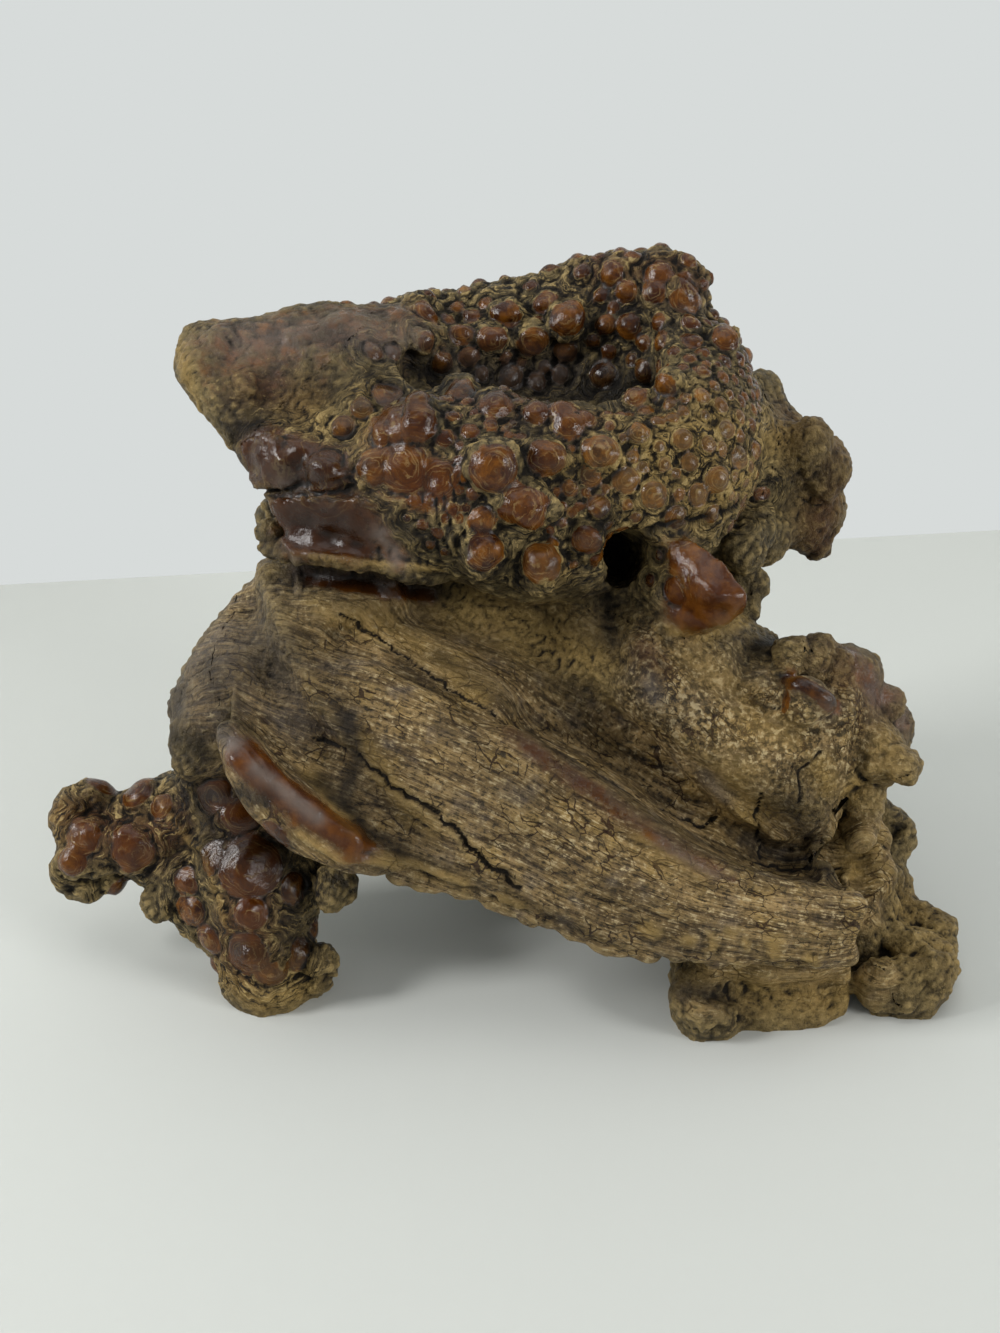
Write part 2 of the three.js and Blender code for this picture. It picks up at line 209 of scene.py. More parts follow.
def normals_of(points, faces):
    """The outward direction at each point: the mean of its faces' normals, each from two diagonals."""
    a, b, c, d = (points[faces[:, corner]] for corner in range(4))
    flat = np.cross(c - a, d - b)
    weights = [np.repeat(flat[:, axis], 4) for axis in range(3)]
    sums = [np.bincount(faces.ravel(), weights=weight, minlength=len(points)) for weight in weights]
    normal = np.stack(sums, axis=1)
    return normal / np.maximum(np.linalg.norm(normal, axis=1, keepdims=True), 1e-9)


# %% Lumps of a chosen size
def random_at(cells, seed):
    """A number from 0 to 1 for each lattice cell, by multiplying and folding its three numbers."""
    whole = cells.astype(np.int64).astype(np.uint32)
    mixed = whole[:, 0] * np.uint32(374761393) + whole[:, 1] * np.uint32(668265263)
    mixed = mixed + whole[:, 2] * np.uint32(2246822519) + np.uint32(seed * 3266489 % 4294967291)
    mixed = (mixed ^ (mixed >> np.uint32(13))) * np.uint32(1274126177)
    mixed = (mixed ^ (mixed >> np.uint32(15))) * np.uint32(2654435761)
    return (mixed >> np.uint32(8)) / float(1 << 24)


def lumps(points, size, seed=0):
    """Smooth lumps about `size` mm apart, from about -1 to 1. Each lattice corner has a random
    slope, and a point blends the heights that the eight slopes round it give there."""
    place = points / size
    cell = np.floor(place)
    inside = place - cell
    blend = inside ** 3 * (inside * (inside * 6 - 15) + 10)
    total = np.zeros(len(points))
    for corner in np.ndindex(2, 2, 2):
        weight = np.prod(np.where(corner, blend, 1 - blend), axis=1)
        slopes = [2 * random_at(cell + corner, seed + 11 * axis) - 1 for axis in range(3)]
        total += weight * np.sum(np.stack(slopes, axis=1) * (inside - corner), axis=1)
    return 1.7 * total


# %% [markdown]
# ## The first skin
#
# The solids are cut at the root's main forks and have flat facets. Copies of them are merged and
# wrapped in one skin, which closes the cuts, and smoothing takes the facets away. The smoothing
# steps forth and back, so that thin edges don't melt. The soles of the feet stay on the ground.

# %% Solids wrapped in one smooth skin
def merged_copy(solid):
    """A CAD solid's points and triangles, with the points that coincide merged."""
    copy = bmesh.new()
    copy.from_mesh(solid.data)
    bmesh.ops.remove_doubles(copy, verts=copy.verts, dist=1e-6)
    mesh = bpy.data.meshes.new("copy")
    copy.to_mesh(mesh)
    copy.free()
    return take_mesh(mesh, 3)


solids = joined([merged_copy(solid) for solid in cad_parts.values()])
base, base_faces = one_skin(*solids, cell=1.8)
base = relaxed(base, base_faces, 14)
print("first skin:", len(base), "points")

# %% What shows at a pixel
base_tree = BVHTree.FromPolygons(base.tolist(), base_faces.tolist())
base_normal = normals_of(base, base_faces)


def on_skin(x, y):
    """Place and outward direction of the skin at pixel (x, y). A pixel just off the skin takes the
    nearest place to its line of sight."""
    line = sight(x, y)
    place, normal, _, _ = base_tree.ray_cast(Vector(LENS), Vector(line))
    if place is None:
        place, normal, _, _ = base_tree.find_nearest(Vector(LENS + line * ROOT_AWAY))
    return np.array(place), np.array(normal)


def path_on_skin(pixels):
    """Points on the skin along a line drawn through pixels, about every six pixels."""
    corners = np.array(pixels, float)
    steps = np.linalg.norm(np.diff(corners, axis=0), axis=1)
    along = np.concatenate([[0], np.cumsum(steps)])
    at = np.linspace(0, along[-1], max(int(along[-1] / 6), 1) + 1)
    spots = zip(np.interp(at, along, corners[:, 0]), np.interp(at, along, corners[:, 1]))
    return np.array([on_skin(x, y)[0] for x, y in spots])


CLUSTER_TOP = (494, 467)  # pixels
print("top of the front cluster:", on_skin(*CLUSTER_TOP)[0].round(1))

# %% [markdown]
# ## Strokes
#
# Ridges, hollows, cracks, stains, painted shade and highlights, and glossy places are strokes: a line
# drawn through pixels of the photograph, laid on the skin. A stroke is strongest on its line and
# fades over its width. The first strokes carve the skin: shelf, flutes, trough and the dark cleft
# under the crown.

# %% Strokes laid on the skin
def stroke(points, pixels, width):
    """From 1 on the line to 0 away from it: a bell curve of the distance to the line's nearest
    stretch, `width` mm wide."""
    path = path_on_skin(pixels) if len(pixels) > 1 else np.array([on_skin(*pixels[0])[0]] * 2)
    reach = 2.5 * width
    near = np.all((points > path.min(0) - reach) & (points < path.max(0) + reach), axis=1)
    some = points[near]
    best = np.full(len(some), np.inf)
    for start, end in zip(path[:-1], path[1:]):
        stretch = end - start
        share = np.clip((some - start) @ stretch / max(stretch @ stretch, 1e-9), 0, 1)
        best = np.minimum(best, np.linalg.norm(some - start - share[:, None] * stretch, axis=1))
    made = np.zeros(len(points))
    made[near] = np.exp(-(best / width) ** 2)
    return made


def strokes(points, rows):
    """The strongest of several strokes at each point. A row is (strength, width in mm, pixels)."""
    made = np.zeros(len(points))
    for strength, width, pixels in rows:
        made = np.maximum(made, strength * stroke(points, pixels, width))
    return made


# %% The crown's coarse beads melted down
# The fine beads grow here later, so the coarse ones are smoothed into an even rise. The pits of the
# hollow, the cone and the flat-sided block keep their shape.
CROWN_FLOOR, CROWN_FADE = 96.0, 10.0  # mm above the ground, and mm over which the melting sets in
MELT_ROUNDS, MELT_SWELL = 9, 0.7  # smoothing steps, and mm outwards that make up for what they take
KEPT_SHAPES = [
    (1.0, 12.0, [(590, 392), (640, 385)]),
    (1.0, 9.0, [(420, 370), (445, 378)]),
    (1.0, 11.0, [(692, 550), (735, 600), (690, 615)]),
    (1.0, 12.0, [(285, 525), (365, 525)]),
]
crown_share = np.clip((base[:, 2] - CROWN_FLOOR) / CROWN_FADE, 0, 1) * (1 - strokes(base, KEPT_SHAPES))
melted = smoothed(base, base_faces, MELT_ROUNDS) + MELT_SWELL * base_normal
base = base + crown_share[:, None] * (melted - base)
base_tree = BVHTree.FromPolygons(base.tolist(), base_faces.tolist())
base_normal = normals_of(base, base_faces)
print("share of the first skin that melts:", crown_share.mean().round(2))

# %% Carving the first skin
# Height in mm, width in mm, pixels.
CARVED = [
    (0.6, 1.2, [(296, 555), (330, 559), (385, 566), (440, 576)]),
    (-6.0, 4.5, [(305, 571), (380, 581), (450, 592)]),
    (3.0, 3.0, [(262, 563), (275, 600), (292, 645), (318, 700), (342, 738)]),
    (-4.0, 5.5, [(240, 610), (262, 670), (296, 722), (322, 742)]),
    (2.2, 4.0, [(320, 608), (390, 625), (450, 655), (505, 697)]),
    (-2.4, 3.6, [(340, 640), (410, 672), (470, 705), (520, 730)]),
    (3.2, 3.6, [(240, 757), (300, 804), (352, 842)]),
    (2.0, 6.5, [(360, 680), (440, 740), (560, 815), (700, 890), (830, 935)]),
    (-3.0, 5.0, [(318, 748), (362, 792), (410, 832)]),
    (-2.5, 8.0, [(455, 592), (520, 618), (580, 650)]),
    (-5.0, 5.0, [(618, 560), (606, 612), (612, 655)]),
    (-8.0, 8.0, [(592, 390), (640, 384)]),
    (-7.0, 5.0, [(420, 368), (444, 376)]),
    (-4.0, 8.0, [(480, 372), (540, 376), (600, 368)]),
    (5.0, 6.0, [(196, 370), (222, 402), (243, 432)]),
    (-4.0, 8.0, [(450, 296), (490, 290), (540, 278), (580, 268)]),
    (-4.0, 7.0, [(700, 268), (718, 292)]),
    (-11.0, 6.5, [(62, 898), (85, 906), (105, 902)]),
    (-4.0, 5.0, [(84, 808), (140, 810)]),
    (4.0, 6.0, [(172, 732), (176, 765)]),
    (-11.0, 7.0, [(905, 812), (914, 840)]),
    (-13.0, 8.0, [(934, 893), (952, 922)]),
    (-6.0, 7.5, [(545, 715), (640, 752), (730, 812), (820, 862), (850, 872)]),
    (3.8, 4.0, [(510, 735), (633, 821), (679, 854), (733, 879), (800, 897), (852, 905)]),
    (-2.5, 5.0, [(560, 800), (660, 862), (760, 905)]),
    (3.5, 7.0, [(640, 650), (650, 690), (690, 720)]),
    (-3.5, 4.0, [(752, 655), (742, 690), (770, 700)]),
    (3.0, 4.5, [(835, 655), (850, 690), (845, 720)]),
    (-3.0, 3.5, [(862, 690), (858, 740), (870, 790)]),
    (-5.0, 4.0, [(690, 985), (760, 1000), (835, 992)]),
    (-3.0, 4.0, [(395, 345), (385, 395), (345, 430)]),
    (2.5, 4.0, [(262, 440), (300, 445), (330, 478)]),
    (-2.5, 2.2, [(250, 492), (310, 488), (350, 487)]),
]
for height, width, pixels in CARVED:
    outward = np.mean([on_skin(x, y)[1] for x, y in pixels], axis=0)
    same_side = np.clip(2 * base_normal @ outward, 0, 1)  # the far side of a thin edge stays put
    base = base + base_normal * (height * same_side * stroke(base, pixels, width))[:, None]
base = relaxed(base, base_faces, 2)
base_tree = BVHTree.FromPolygons(base.tolist(), base_faces.tolist())
base_normal = normals_of(base, base_faces)
print("carved strokes:", len(CARVED))

# %% [markdown]
# ## Beads
#
# Burl beads are round buds that never grew out. The photograph shows the larger ones well enough
# to list them by pixel and width. Between them, and on the sides that it doesn't show, smaller
# ones are strewn by a fixed rule: try places in a mixed order and keep those with room.

# %% Beads that the photograph shows
# Pixel x, pixel y, width in pixels.
SEEN_BEADS = np.array([
    (494, 467, 51), (523, 506, 53), (547, 457, 41), (482, 520, 30), (484, 551, 42), (541, 563, 42),
    (552, 545, 16), (586, 539, 32), (596, 557, 22), (600, 506, 26), (496, 404, 36), (460, 392, 36),
    (417, 398, 30), (536, 412, 28), (563, 410, 30), (568, 424, 34), (586, 418, 22), (419, 422, 44),
    (445, 437, 22), (470, 430, 20), (600, 451, 40), (592, 475, 26), (625, 480, 28), (639, 433, 26),
    (655, 496, 32), (427, 341, 26), (462, 326, 26), (492, 335, 32), (470, 355, 22), (533, 339, 34),
    (568, 312, 40), (511, 377, 26), (604, 375, 30), (570, 488, 18), (635, 396, 26), (666, 386, 28),
    (693, 330, 24), (611, 270, 28), (703, 370, 20), (726, 353, 18), (703, 396, 18), (683, 439, 24),
    (726, 429, 20), (708, 444, 18), (718, 480, 30), (690, 462, 20), (739, 457, 24), (759, 495, 22),
    (757, 450, 20), (698, 495, 24), (677, 518, 26), (660, 272, 32), (686, 286, 44), (726, 325, 30),
    (626, 289, 24), (655, 289, 26), (426, 306, 30), (506, 298, 32), (546, 286, 28),
])
# Broad glossy lumps: the left foot, the block under the spur and the brown mass beside it.
GLOSSY_LUMPS = np.array([
    (82, 836, 40), (70, 862, 34), (132, 852, 44), (124, 832, 24), (160, 806, 28), (215, 797, 42),
    (243, 812, 46), (250, 868, 66), (218, 860, 40), (187, 882, 30), (190, 912, 34), (250, 914, 36),
    (247, 955, 50), (300, 955, 36), (272, 968, 40), (327, 892, 36), (262, 462, 44), (290, 455, 44),
    (318, 476, 36), (395, 425, 46), (405, 465, 56), (372, 468, 36), (440, 478, 40), (388, 395, 40),
    (343, 427, 26), (383, 432, 30), (375, 350, 20), (393, 352, 20), (362, 408, 24),
    (785, 702, 22), (649, 580, 12), (658, 556, 10), (677, 590, 32),
])
# Broad dull lumps: the spur, the knob's lobes, the hooked arm, the right foot and the front nubs.
DULL_LUMPS = np.array([
    (846, 664, 44), (896, 718, 54), (874, 745, 34), (826, 776, 26), (812, 440, 50), (838, 470, 34),
    (790, 470, 44), (815, 520, 50), (790, 535, 40), (812, 548, 24), (893, 908, 44), (934, 964, 48),
    (920, 985, 56), (890, 945, 44), (878, 985, 46), (686, 1000, 24), (700, 1024, 34), (736, 1018, 40),
    (222, 344, 56), (300, 331, 48), (345, 302, 46), (252, 380, 60), (400, 314, 44), (330, 350, 50),
    (898, 768, 40),
])
# Lumps that fill out the outline where the first skin falls short of the photograph: behind the
# cone, on the hooked arm, and at the soles of the feet. Pixel x, pixel y, mm behind the middle
# plane, width in pixels.
DEEP_LUMPS = np.array([
    (742, 548, 12, 56), (752, 528, 20, 56), (768, 536, 26, 56), (790, 526, 34, 60), (742, 585, 14, 46),
    (748, 606, 10, 30), (808, 444, 30, 54), (826, 470, 33, 60), (814, 490, 36, 48), (806, 512, 36, 60),
    (812, 544, 35, 40), (880, 985, -42, 58), (905, 986, -42, 60), (928, 984, -42, 56), (940, 972, -40, 40),
    (334, 888, -33, 48), (316, 962, -38, 46), (313, 980, -38, 34), (158, 905, -29, 38), (790, 656, -14, 44),
    (815, 656, -12, 46), (836, 661, -12, 40), (880, 702, -8, 42), (897, 762, -23, 46), (269, 531, -2, 30),
    (866, 796, -20, 50), (862, 826, -22, 46),
])
# The saddle's lower edge, which hangs lower in the photograph, as a rope of such lumps. The rows
# give its course, and the lumps are spaced evenly along it.
SADDLE_EDGE = np.array([
    (400, 868, -50, 28), (440, 876, -50, 30), (480, 883, -51, 28), (520, 905, -52, 30),
    (560, 913, -53, 28), (600, 936, -54, 30), (650, 949, -55, 28),
])
EDGE_LUMPS = 43
BEAD_SWELL = 1.24  # a bead is wider than the part of it that shines
# How deep a middle lies under the skin, in radii.
BEAD_SUNK, STREWN_SUNK, GLOSSY_SUNK, DULL_SUNK = 0.5, 0.4, 0.66, 0.76
# How much of a polish it has.
BEAD_SHINE, GLOSSY_SHINE, DULL_SHINE = 1.0, 0.9, 0.1


def seen_bead(x, y, width, sunk, shine):
    """Middle, radius, outward direction and shine of the bead at a pixel."""
    place, normal = on_skin(x, y)
    radius = BEAD_SWELL * width / 2 * np.dot(place - LENS, AHEAD) / FOCAL
    return np.concatenate([place - normal * sunk * radius, [radius], normal, [shine]])


def deep_lump(x, y, back, width):
    """The same for a lump whose depth is given."""
    place = seen(x, y, back)
    radius = width / 2 * np.dot(place - LENS, AHEAD) / FOCAL
    return np.concatenate([place, [radius], -AHEAD, [DULL_SHINE]])


beads = np.array([seen_bead(*bead, BEAD_SUNK, BEAD_SHINE) for bead in SEEN_BEADS]
                 + [seen_bead(*lump, GLOSSY_SUNK, GLOSSY_SHINE) for lump in GLOSSY_LUMPS]
                 + [seen_bead(*lump, DULL_SUNK, DULL_SHINE) for lump in DULL_LUMPS]
                 + [deep_lump(*lump) for lump in DEEP_LUMPS]
                 + [deep_lump(*lump) for lump in spread(SADDLE_EDGE, EDGE_LUMPS)])
print("beads seen:", len(beads))
print("radii in mm:", beads[:, 3].min().round(1), "to", beads[:, 3].max().round(1))

# %% Smaller beads where there is room
def strewn(where, most, small, large, room, sunk, shine, seed, taken):
    """Up to `most` new beads at skin points picked by `where`, with radii from small to large and
    middles `sunk` radii deep. A place is kept if it is over `room` times the two radii from every
    other bead."""
    spots = np.flatnonzero(where)
    order = np.random.default_rng(seed).permutation(spots)[:most * 14]
    sizes = small + (large - small) * np.random.default_rng(seed + 1).random(len(order)) ** 1.6
    kept = taken
    for spot, radius in zip(order, sizes):
        if len(kept) - len(taken) >= most:
            break
        middle = base[spot] - base_normal[spot] * sunk * radius
        apart = np.linalg.norm(kept[:, :3] - middle, axis=1)
        if np.all(apart > room * (kept[:, 3] + radius)):
            kept = np.vstack([kept, [*middle, radius, *base_normal[spot], shine]])
    return kept


def near_pixel(x, y, reach):
    """Which points of the first skin lie within `reach` mm of what shows at a pixel."""
    return np.linalg.norm(base - on_skin(x, y)[0], axis=1) < reach


def within(low, high):
    """Which points of the first skin lie in the box between two corners in mm."""
    return np.all((base > low) & (base < high), axis=1)


# Pixel x, pixel y, reach in mm, how many, smallest and largest radius in mm, shine.
BEAD_PATCHES = [
    (700, 430, 22, 48, 1.9, 4.4, 1.0),
    (640, 455, 14, 26, 1.7, 3.6, 1.0),
    (740, 480, 14, 18, 2.0, 4.2, 1.0),
    (590, 520, 12, 22, 1.3, 2.8, 1.0),
    (510, 440, 18, 34, 1.3, 3.2, 1.0),
    (460, 500, 14, 14, 1.3, 2.4, 1.0),
    (430, 420, 16, 16, 1.6, 3.2, 1.0),
    (600, 285, 20, 26, 2.4, 4.6, 1.0),
    (690, 300, 22, 34, 2.2, 4.6, 1.0),
    (480, 305, 22, 18, 2.4, 4.4, 1.0),
    (730, 350, 18, 26, 1.8, 3.8, 1.0),
    (540, 345, 10, 8, 1.8, 3.4, 1.0),
    (660, 585, 8, 6, 1.4, 2.4, 0.2),
    (640, 650, 9, 10, 1.8, 3.2, 0.2),
]
HOLLOW_FLOOR = [(480, 372, 16), (540, 372, 18), (600, 368, 18), (640, 360, 12)]
SLIM_PLACES = [(915, 830, 14), (940, 905, 12)]  # the right foot is slimmer here
PAST = 1000  # mm, past the root on any side
for number, (x, y, reach, most, small, large, shine) in enumerate(BEAD_PATCHES):
    patch = near_pixel(x, y, reach)
    beads = strewn(patch, most, small, large, 0.84, STREWN_SUNK, shine, 40 + number, beads)
behind = within((-45, 22, 98), (60, PAST, 162))
for place in HOLLOW_FLOOR:
    behind &= ~near_pixel(*place)
beads = strewn(behind, 120, 2.4, 5.0, 0.82, 0.5, 0.9, 90, beads)
left_foot = within((-108, -PAST, 4), (-50, 12, 66))
beads = strewn(left_foot, 34, 3.4, 6.6, 0.8, 0.62, 0.7, 91, beads)
other_feet = within((-PAST, 14, 3), (PAST, PAST, 62)) | within((88, -PAST, 3), (PAST, PAST, 62))
for place in SLIM_PLACES:
    other_feet &= ~near_pixel(*place)
beads = strewn(other_feet, 100, 3.6, 8.0, 0.8, 0.72, 0.15, 92, beads)
print("beads in all:", len(beads))

# %% A bead's shape
RINGS, TURNS = 8, 16  # of the ball's grid, without its poles
FLAT = 0.88  # a bead's height as a share of its width


def bead_shape(middle, radius, out, seed):
    """A ball on a grid of turns round the outward direction and of angles down from it. Slow lumps
    make it a little uneven, and it is flattened outwards."""
    side = np.cross(out, [0.3, 0.5, 0.81])
    side /= np.linalg.norm(side)
    third = np.cross(out, side)
    down = np.linspace(0, np.pi, RINGS + 2)[1:-1, None]
    turn = np.linspace(0, 2 * np.pi, TURNS, endpoint=False)[None, :]
    rings = [np.sin(down) * np.cos(turn), np.sin(down) * np.sin(turn), FLAT * np.cos(down) + 0 * turn]
    ball = np.stack([ring.ravel() for ring in rings], axis=1)
    ball = np.vstack([ball, [[0, 0, FLAT], [0, 0, -FLAT]]])
    ball *= (1 + 0.24 * lumps(ball + seed * 3.7, 1.1, 5) + 0.1 * lumps(ball + seed, 0.5, 6))[:, None]
    stretch = [1 + 0.16 * math.sin(seed), 1 - 0.16 * math.sin(seed), 1]
    points = middle + radius * ((ball * stretch) @ np.stack([side, third, out]))
    return points, BALL_FACES


# Faces of the ball's grid: squares between the rings, and a fan to each pole.
ring_start = np.arange(RINGS - 1)[:, None] * TURNS
below = ring_start + TURNS
step = np.arange(TURNS)[None, :]
following = (step + 1) % TURNS
squares = [ring_start + step, below + step, below + following, ring_start + following]
squares = np.stack([corner.ravel() for corner in squares], axis=1)
top_pole, last_ring = RINGS * TURNS, (RINGS - 1) * TURNS
upper = np.stack([np.full(TURNS, top_pole), step[0], following[0]], axis=1)
lower = np.stack([np.full(TURNS, top_pole + 1), last_ring + following[0], last_ring + step[0]], axis=1)
BALL_FACES = np.concatenate([squares[:, [0, 1, 2]], squares[:, [0, 2, 3]], upper, lower])

grown = [bead_shape(bead[:3], bead[3], bead[4:7], number) for number, bead in enumerate(beads)]
print("points in all beads:", sum(len(points) for points, _ in grown))

# %% Flat-sided blocks
# Where the wood broke off it was later rubbed to flat faces: two knuckles under the spur, the dark
# face below them, and the three-sided cone beside the dark hole. Each row: mm into the wood, then
# the front and the corners in turn. Each of these is pixel x, pixel y, mm behind the middle plane.
BLOCKS = [
    (9, (281, 462, -8.5), [(238, 440, 3), (266, 430, -1), (302, 441, -5), (309, 478, -9),
                           (286, 489, -7.5), (252, 489, -2)]),
    (9, (324, 470, -13), [(300, 446, -5), (330, 452, -9), (350, 484, -14), (312, 490, -10)]),
    (9, (318, 524, -13.6), [(264, 499, -8), (310, 494, -13), (352, 498, -17), (374, 522, -18),
                            (368, 561, -16), (302, 553, -11), (281, 531, -8)]),
    (14, (716, 596, -28), [(678, 539, -12), (694, 537, -13), (726, 562, -19), (748, 590, -24),
                           (752, 602, -25), (748, 614, -24), (728, 627, -22), (703, 637, -19),
                           (676, 632, -15), (652, 612, -12), (645, 580, -10), (660, 553, -11)]),
]


def block_shape(depth, front, corners):
    """Two fans of triangles round a ring of corners: one to the front, one to a point in the wood."""
    ring = np.array([seen(*corner) for corner in corners])
    points = np.vstack([ring, seen(*front), ring.mean(axis=0) + depth * AHEAD])
    corner = np.arange(len(ring))
    following = (corner + 1) % len(ring)
    fronts = np.stack([np.full(len(ring), len(ring)), following, corner], axis=1)
    backs = np.stack([np.full(len(ring), len(ring) + 1), corner, following], axis=1)
    return points, np.concatenate([fronts, backs])


blocks = [block_shape(*row) for row in BLOCKS]
print("blocks:", len(blocks))

# %% [markdown]
# ## The fine skin
#
# First skin, beads and blocks are wrapped together once more, now finely enough for every bead. A
# little smoothing rounds the creases where they meet. The cone and the arm are smoother still.

# %% Everything wrapped in a fine skin
CELL = 0.84  # mm
base_triangles = np.concatenate([base_faces[:, [0, 1, 2]], base_faces[:, [0, 2, 3]]])
skin, faces = one_skin(*joined([(base, base_triangles)] + grown + blocks), cell=CELL)
skin = relaxed(skin, faces, 2)
# With its beads the rear rim stands too high in the picture, so parts of it settle a little. Each
# row: how far in mm, width in mm, pixels.
RIM = [
    (5.4, 11.0, [(455, 290), (500, 282), (540, 274)]),
    (1.0, 12.0, [(600, 262), (660, 262)]),
    (4.2, 9.0, [(704, 275), (722, 310)]),
]
skin[:, 2] -= strokes(skin, RIM)
beads[:, 2] -= strokes(beads[:, :3], RIM)
# Smoothing steps, width in mm, pixels.
SOFT_PLACES = [
    (4, 11.0, [(690, 560), (722, 612)]),
    (20, 20.0, [(790, 430), (840, 470), (790, 530), (745, 555)]),
]
for rounds, width, pixels in SOFT_PLACES:
    softness = stroke(skin, pixels, width)
    skin = skin + softness[:, None] * (smoothed(skin, faces, rounds) - skin)
normal = normals_of(skin, faces)
print("fine skin:", len(skin), "points,", 2 * len(faces), "triangles")

# %% How far each point lies from its bead
shining = beads[beads[:, 7] > 0.5]


def nearest_bead(points):
    """Distance in mm to the surface of the nearest shining bead, below zero on it, and its number."""
    gap = np.empty(len(points))
    number = np.empty(len(points), int)
    for start in range(0, len(points), 20000):
        some = points[start:start + 20000]
        square = (some ** 2).sum(1)[:, None] + (shining[:, :3] ** 2).sum(1) - 2 * some @ shining[:, :3].T
        away = np.sqrt(np.maximum(square, 0)) - shining[:, 3]
        number[start:start + 20000] = away.argmin(axis=1)
        gap[start:start + 20000] = away.min(axis=1)
    return gap, number


gap, bead_number = nearest_bead(skin)
bead_tone = np.random.default_rng(7).random(len(shining))[bead_number]
nearest = shining[bead_number]
offset = skin - nearest[:, :3]
topness = (offset * nearest[:, 4:7]).sum(axis=1) / np.linalg.norm(offset, axis=1)
on_bead = np.clip((topness - 0.5) / 0.14, 0, 1) * np.clip(1 - gap / 0.7, 0, 1)
# `ring` grows outwards from each bead's top in mm, over its rim and on through the bark.
ring = gap - 1.2 * nearest[:, 3] * np.clip(topness - 0.57, 0, 1) * (gap < 0.7)
ring += 0.22 * np.clip(nearest[:, 3] - 2, 0, 6) * lumps(skin, 6.0, 14)
print("share of the skin on beads:", on_bead.mean().round(2))

# %% [markdown]
# ## Grain of the saddle
#
# The saddle's grain runs from its upper left down to its right end and fans out on the way. Five
# rails along it are known from the photograph. A point's place along and across the grain is
# blended from the rails' points near it.

# %% Places along and across the grain
# Each rail: pixel x, pixel y, mm behind the root's middle plane.
GRAIN_RAILS = [
    [(262, 575, 4), (310, 580, 2), (400, 598, 2), (500, 630, -2),
     (600, 668, -8), (690, 735, -14), (780, 825, -20), (852, 850, -22)],
    [(258, 615, -4), (310, 618, -12), (400, 652, -19), (500, 695, -24),
     (600, 760, -29), (700, 830, -31), (790, 872, -30), (857, 880, -30)],
    [(244, 660, -12), (306, 668, -22), (400, 700, -34), (500, 745, -42),
     (600, 805, -47), (700, 858, -49), (790, 893, -49), (858, 898, -46)],
    [(230, 700, -26), (298, 740, -34), (400, 775, -45), (500, 820, -52),
     (600, 872, -56), (700, 908, -58), (790, 930, -58), (858, 935, -52)],
    [(220, 726, -38), (288, 812, -46), (380, 862, -52), (500, 901, -56),
     (600, 946, -59), (700, 970, -60), (790, 976, -59), (858, 972, -52)],
]


rails = np.array([[seen(*spot) for spot in rail] for rail in GRAIN_RAILS])
net = spread(spread(rails, 13).swapaxes(0, 1), 29)
along_step = np.gradient(net, axis=0)
across_step = np.gradient(net, axis=1)
length = np.linalg.norm(along_step, axis=2)
width = np.linalg.norm(across_step, axis=2)
net_along = np.cumsum(length, axis=0).mean(axis=1, keepdims=True) + 0 * length
net_across = np.cumsum(width, axis=1).mean(axis=0, keepdims=True) + 0 * width


def grain_place(points):
    """Along and across the grain in mm, and the distance to the saddle. Each point of the net gives
    a flat estimate, and near ones weigh more by a bell curve 5 mm wide."""
    spots = net.reshape(-1, 3)
    slopes = [(step / size[..., None] ** 2).reshape(-1, 3) * size.reshape(-1, 1)
              for step, size in ((along_step, length), (across_step, width))]
    flat = [values.ravel() for values in (net_along, net_across)]
    out = np.empty((len(points), 3))
    for start in range(0, len(points), 20000):
        some = points[start:start + 20000]
        square = (some ** 2).sum(1)[:, None] + (spots ** 2).sum(1) - 2 * some @ spots.T
        least = square.min(axis=1, keepdims=True)
        weight = np.exp(-(square - least) / (2 * 5.0 ** 2))
        weight /= weight.sum(axis=1, keepdims=True)
        for axis in range(2):
            offset = some @ slopes[axis].T - (spots * slopes[axis]).sum(axis=1)
            out[start:start + 20000, axis] = (weight * (flat[axis] + offset)).sum(axis=1)
        out[start:start + 20000, 2] = np.sqrt(np.maximum(least[:, 0], 0))
    return out


grain = grain_place(skin)
print("grain along:", grain[:, 0].min().round(), "to", grain[:, 0].max().round(), "mm")
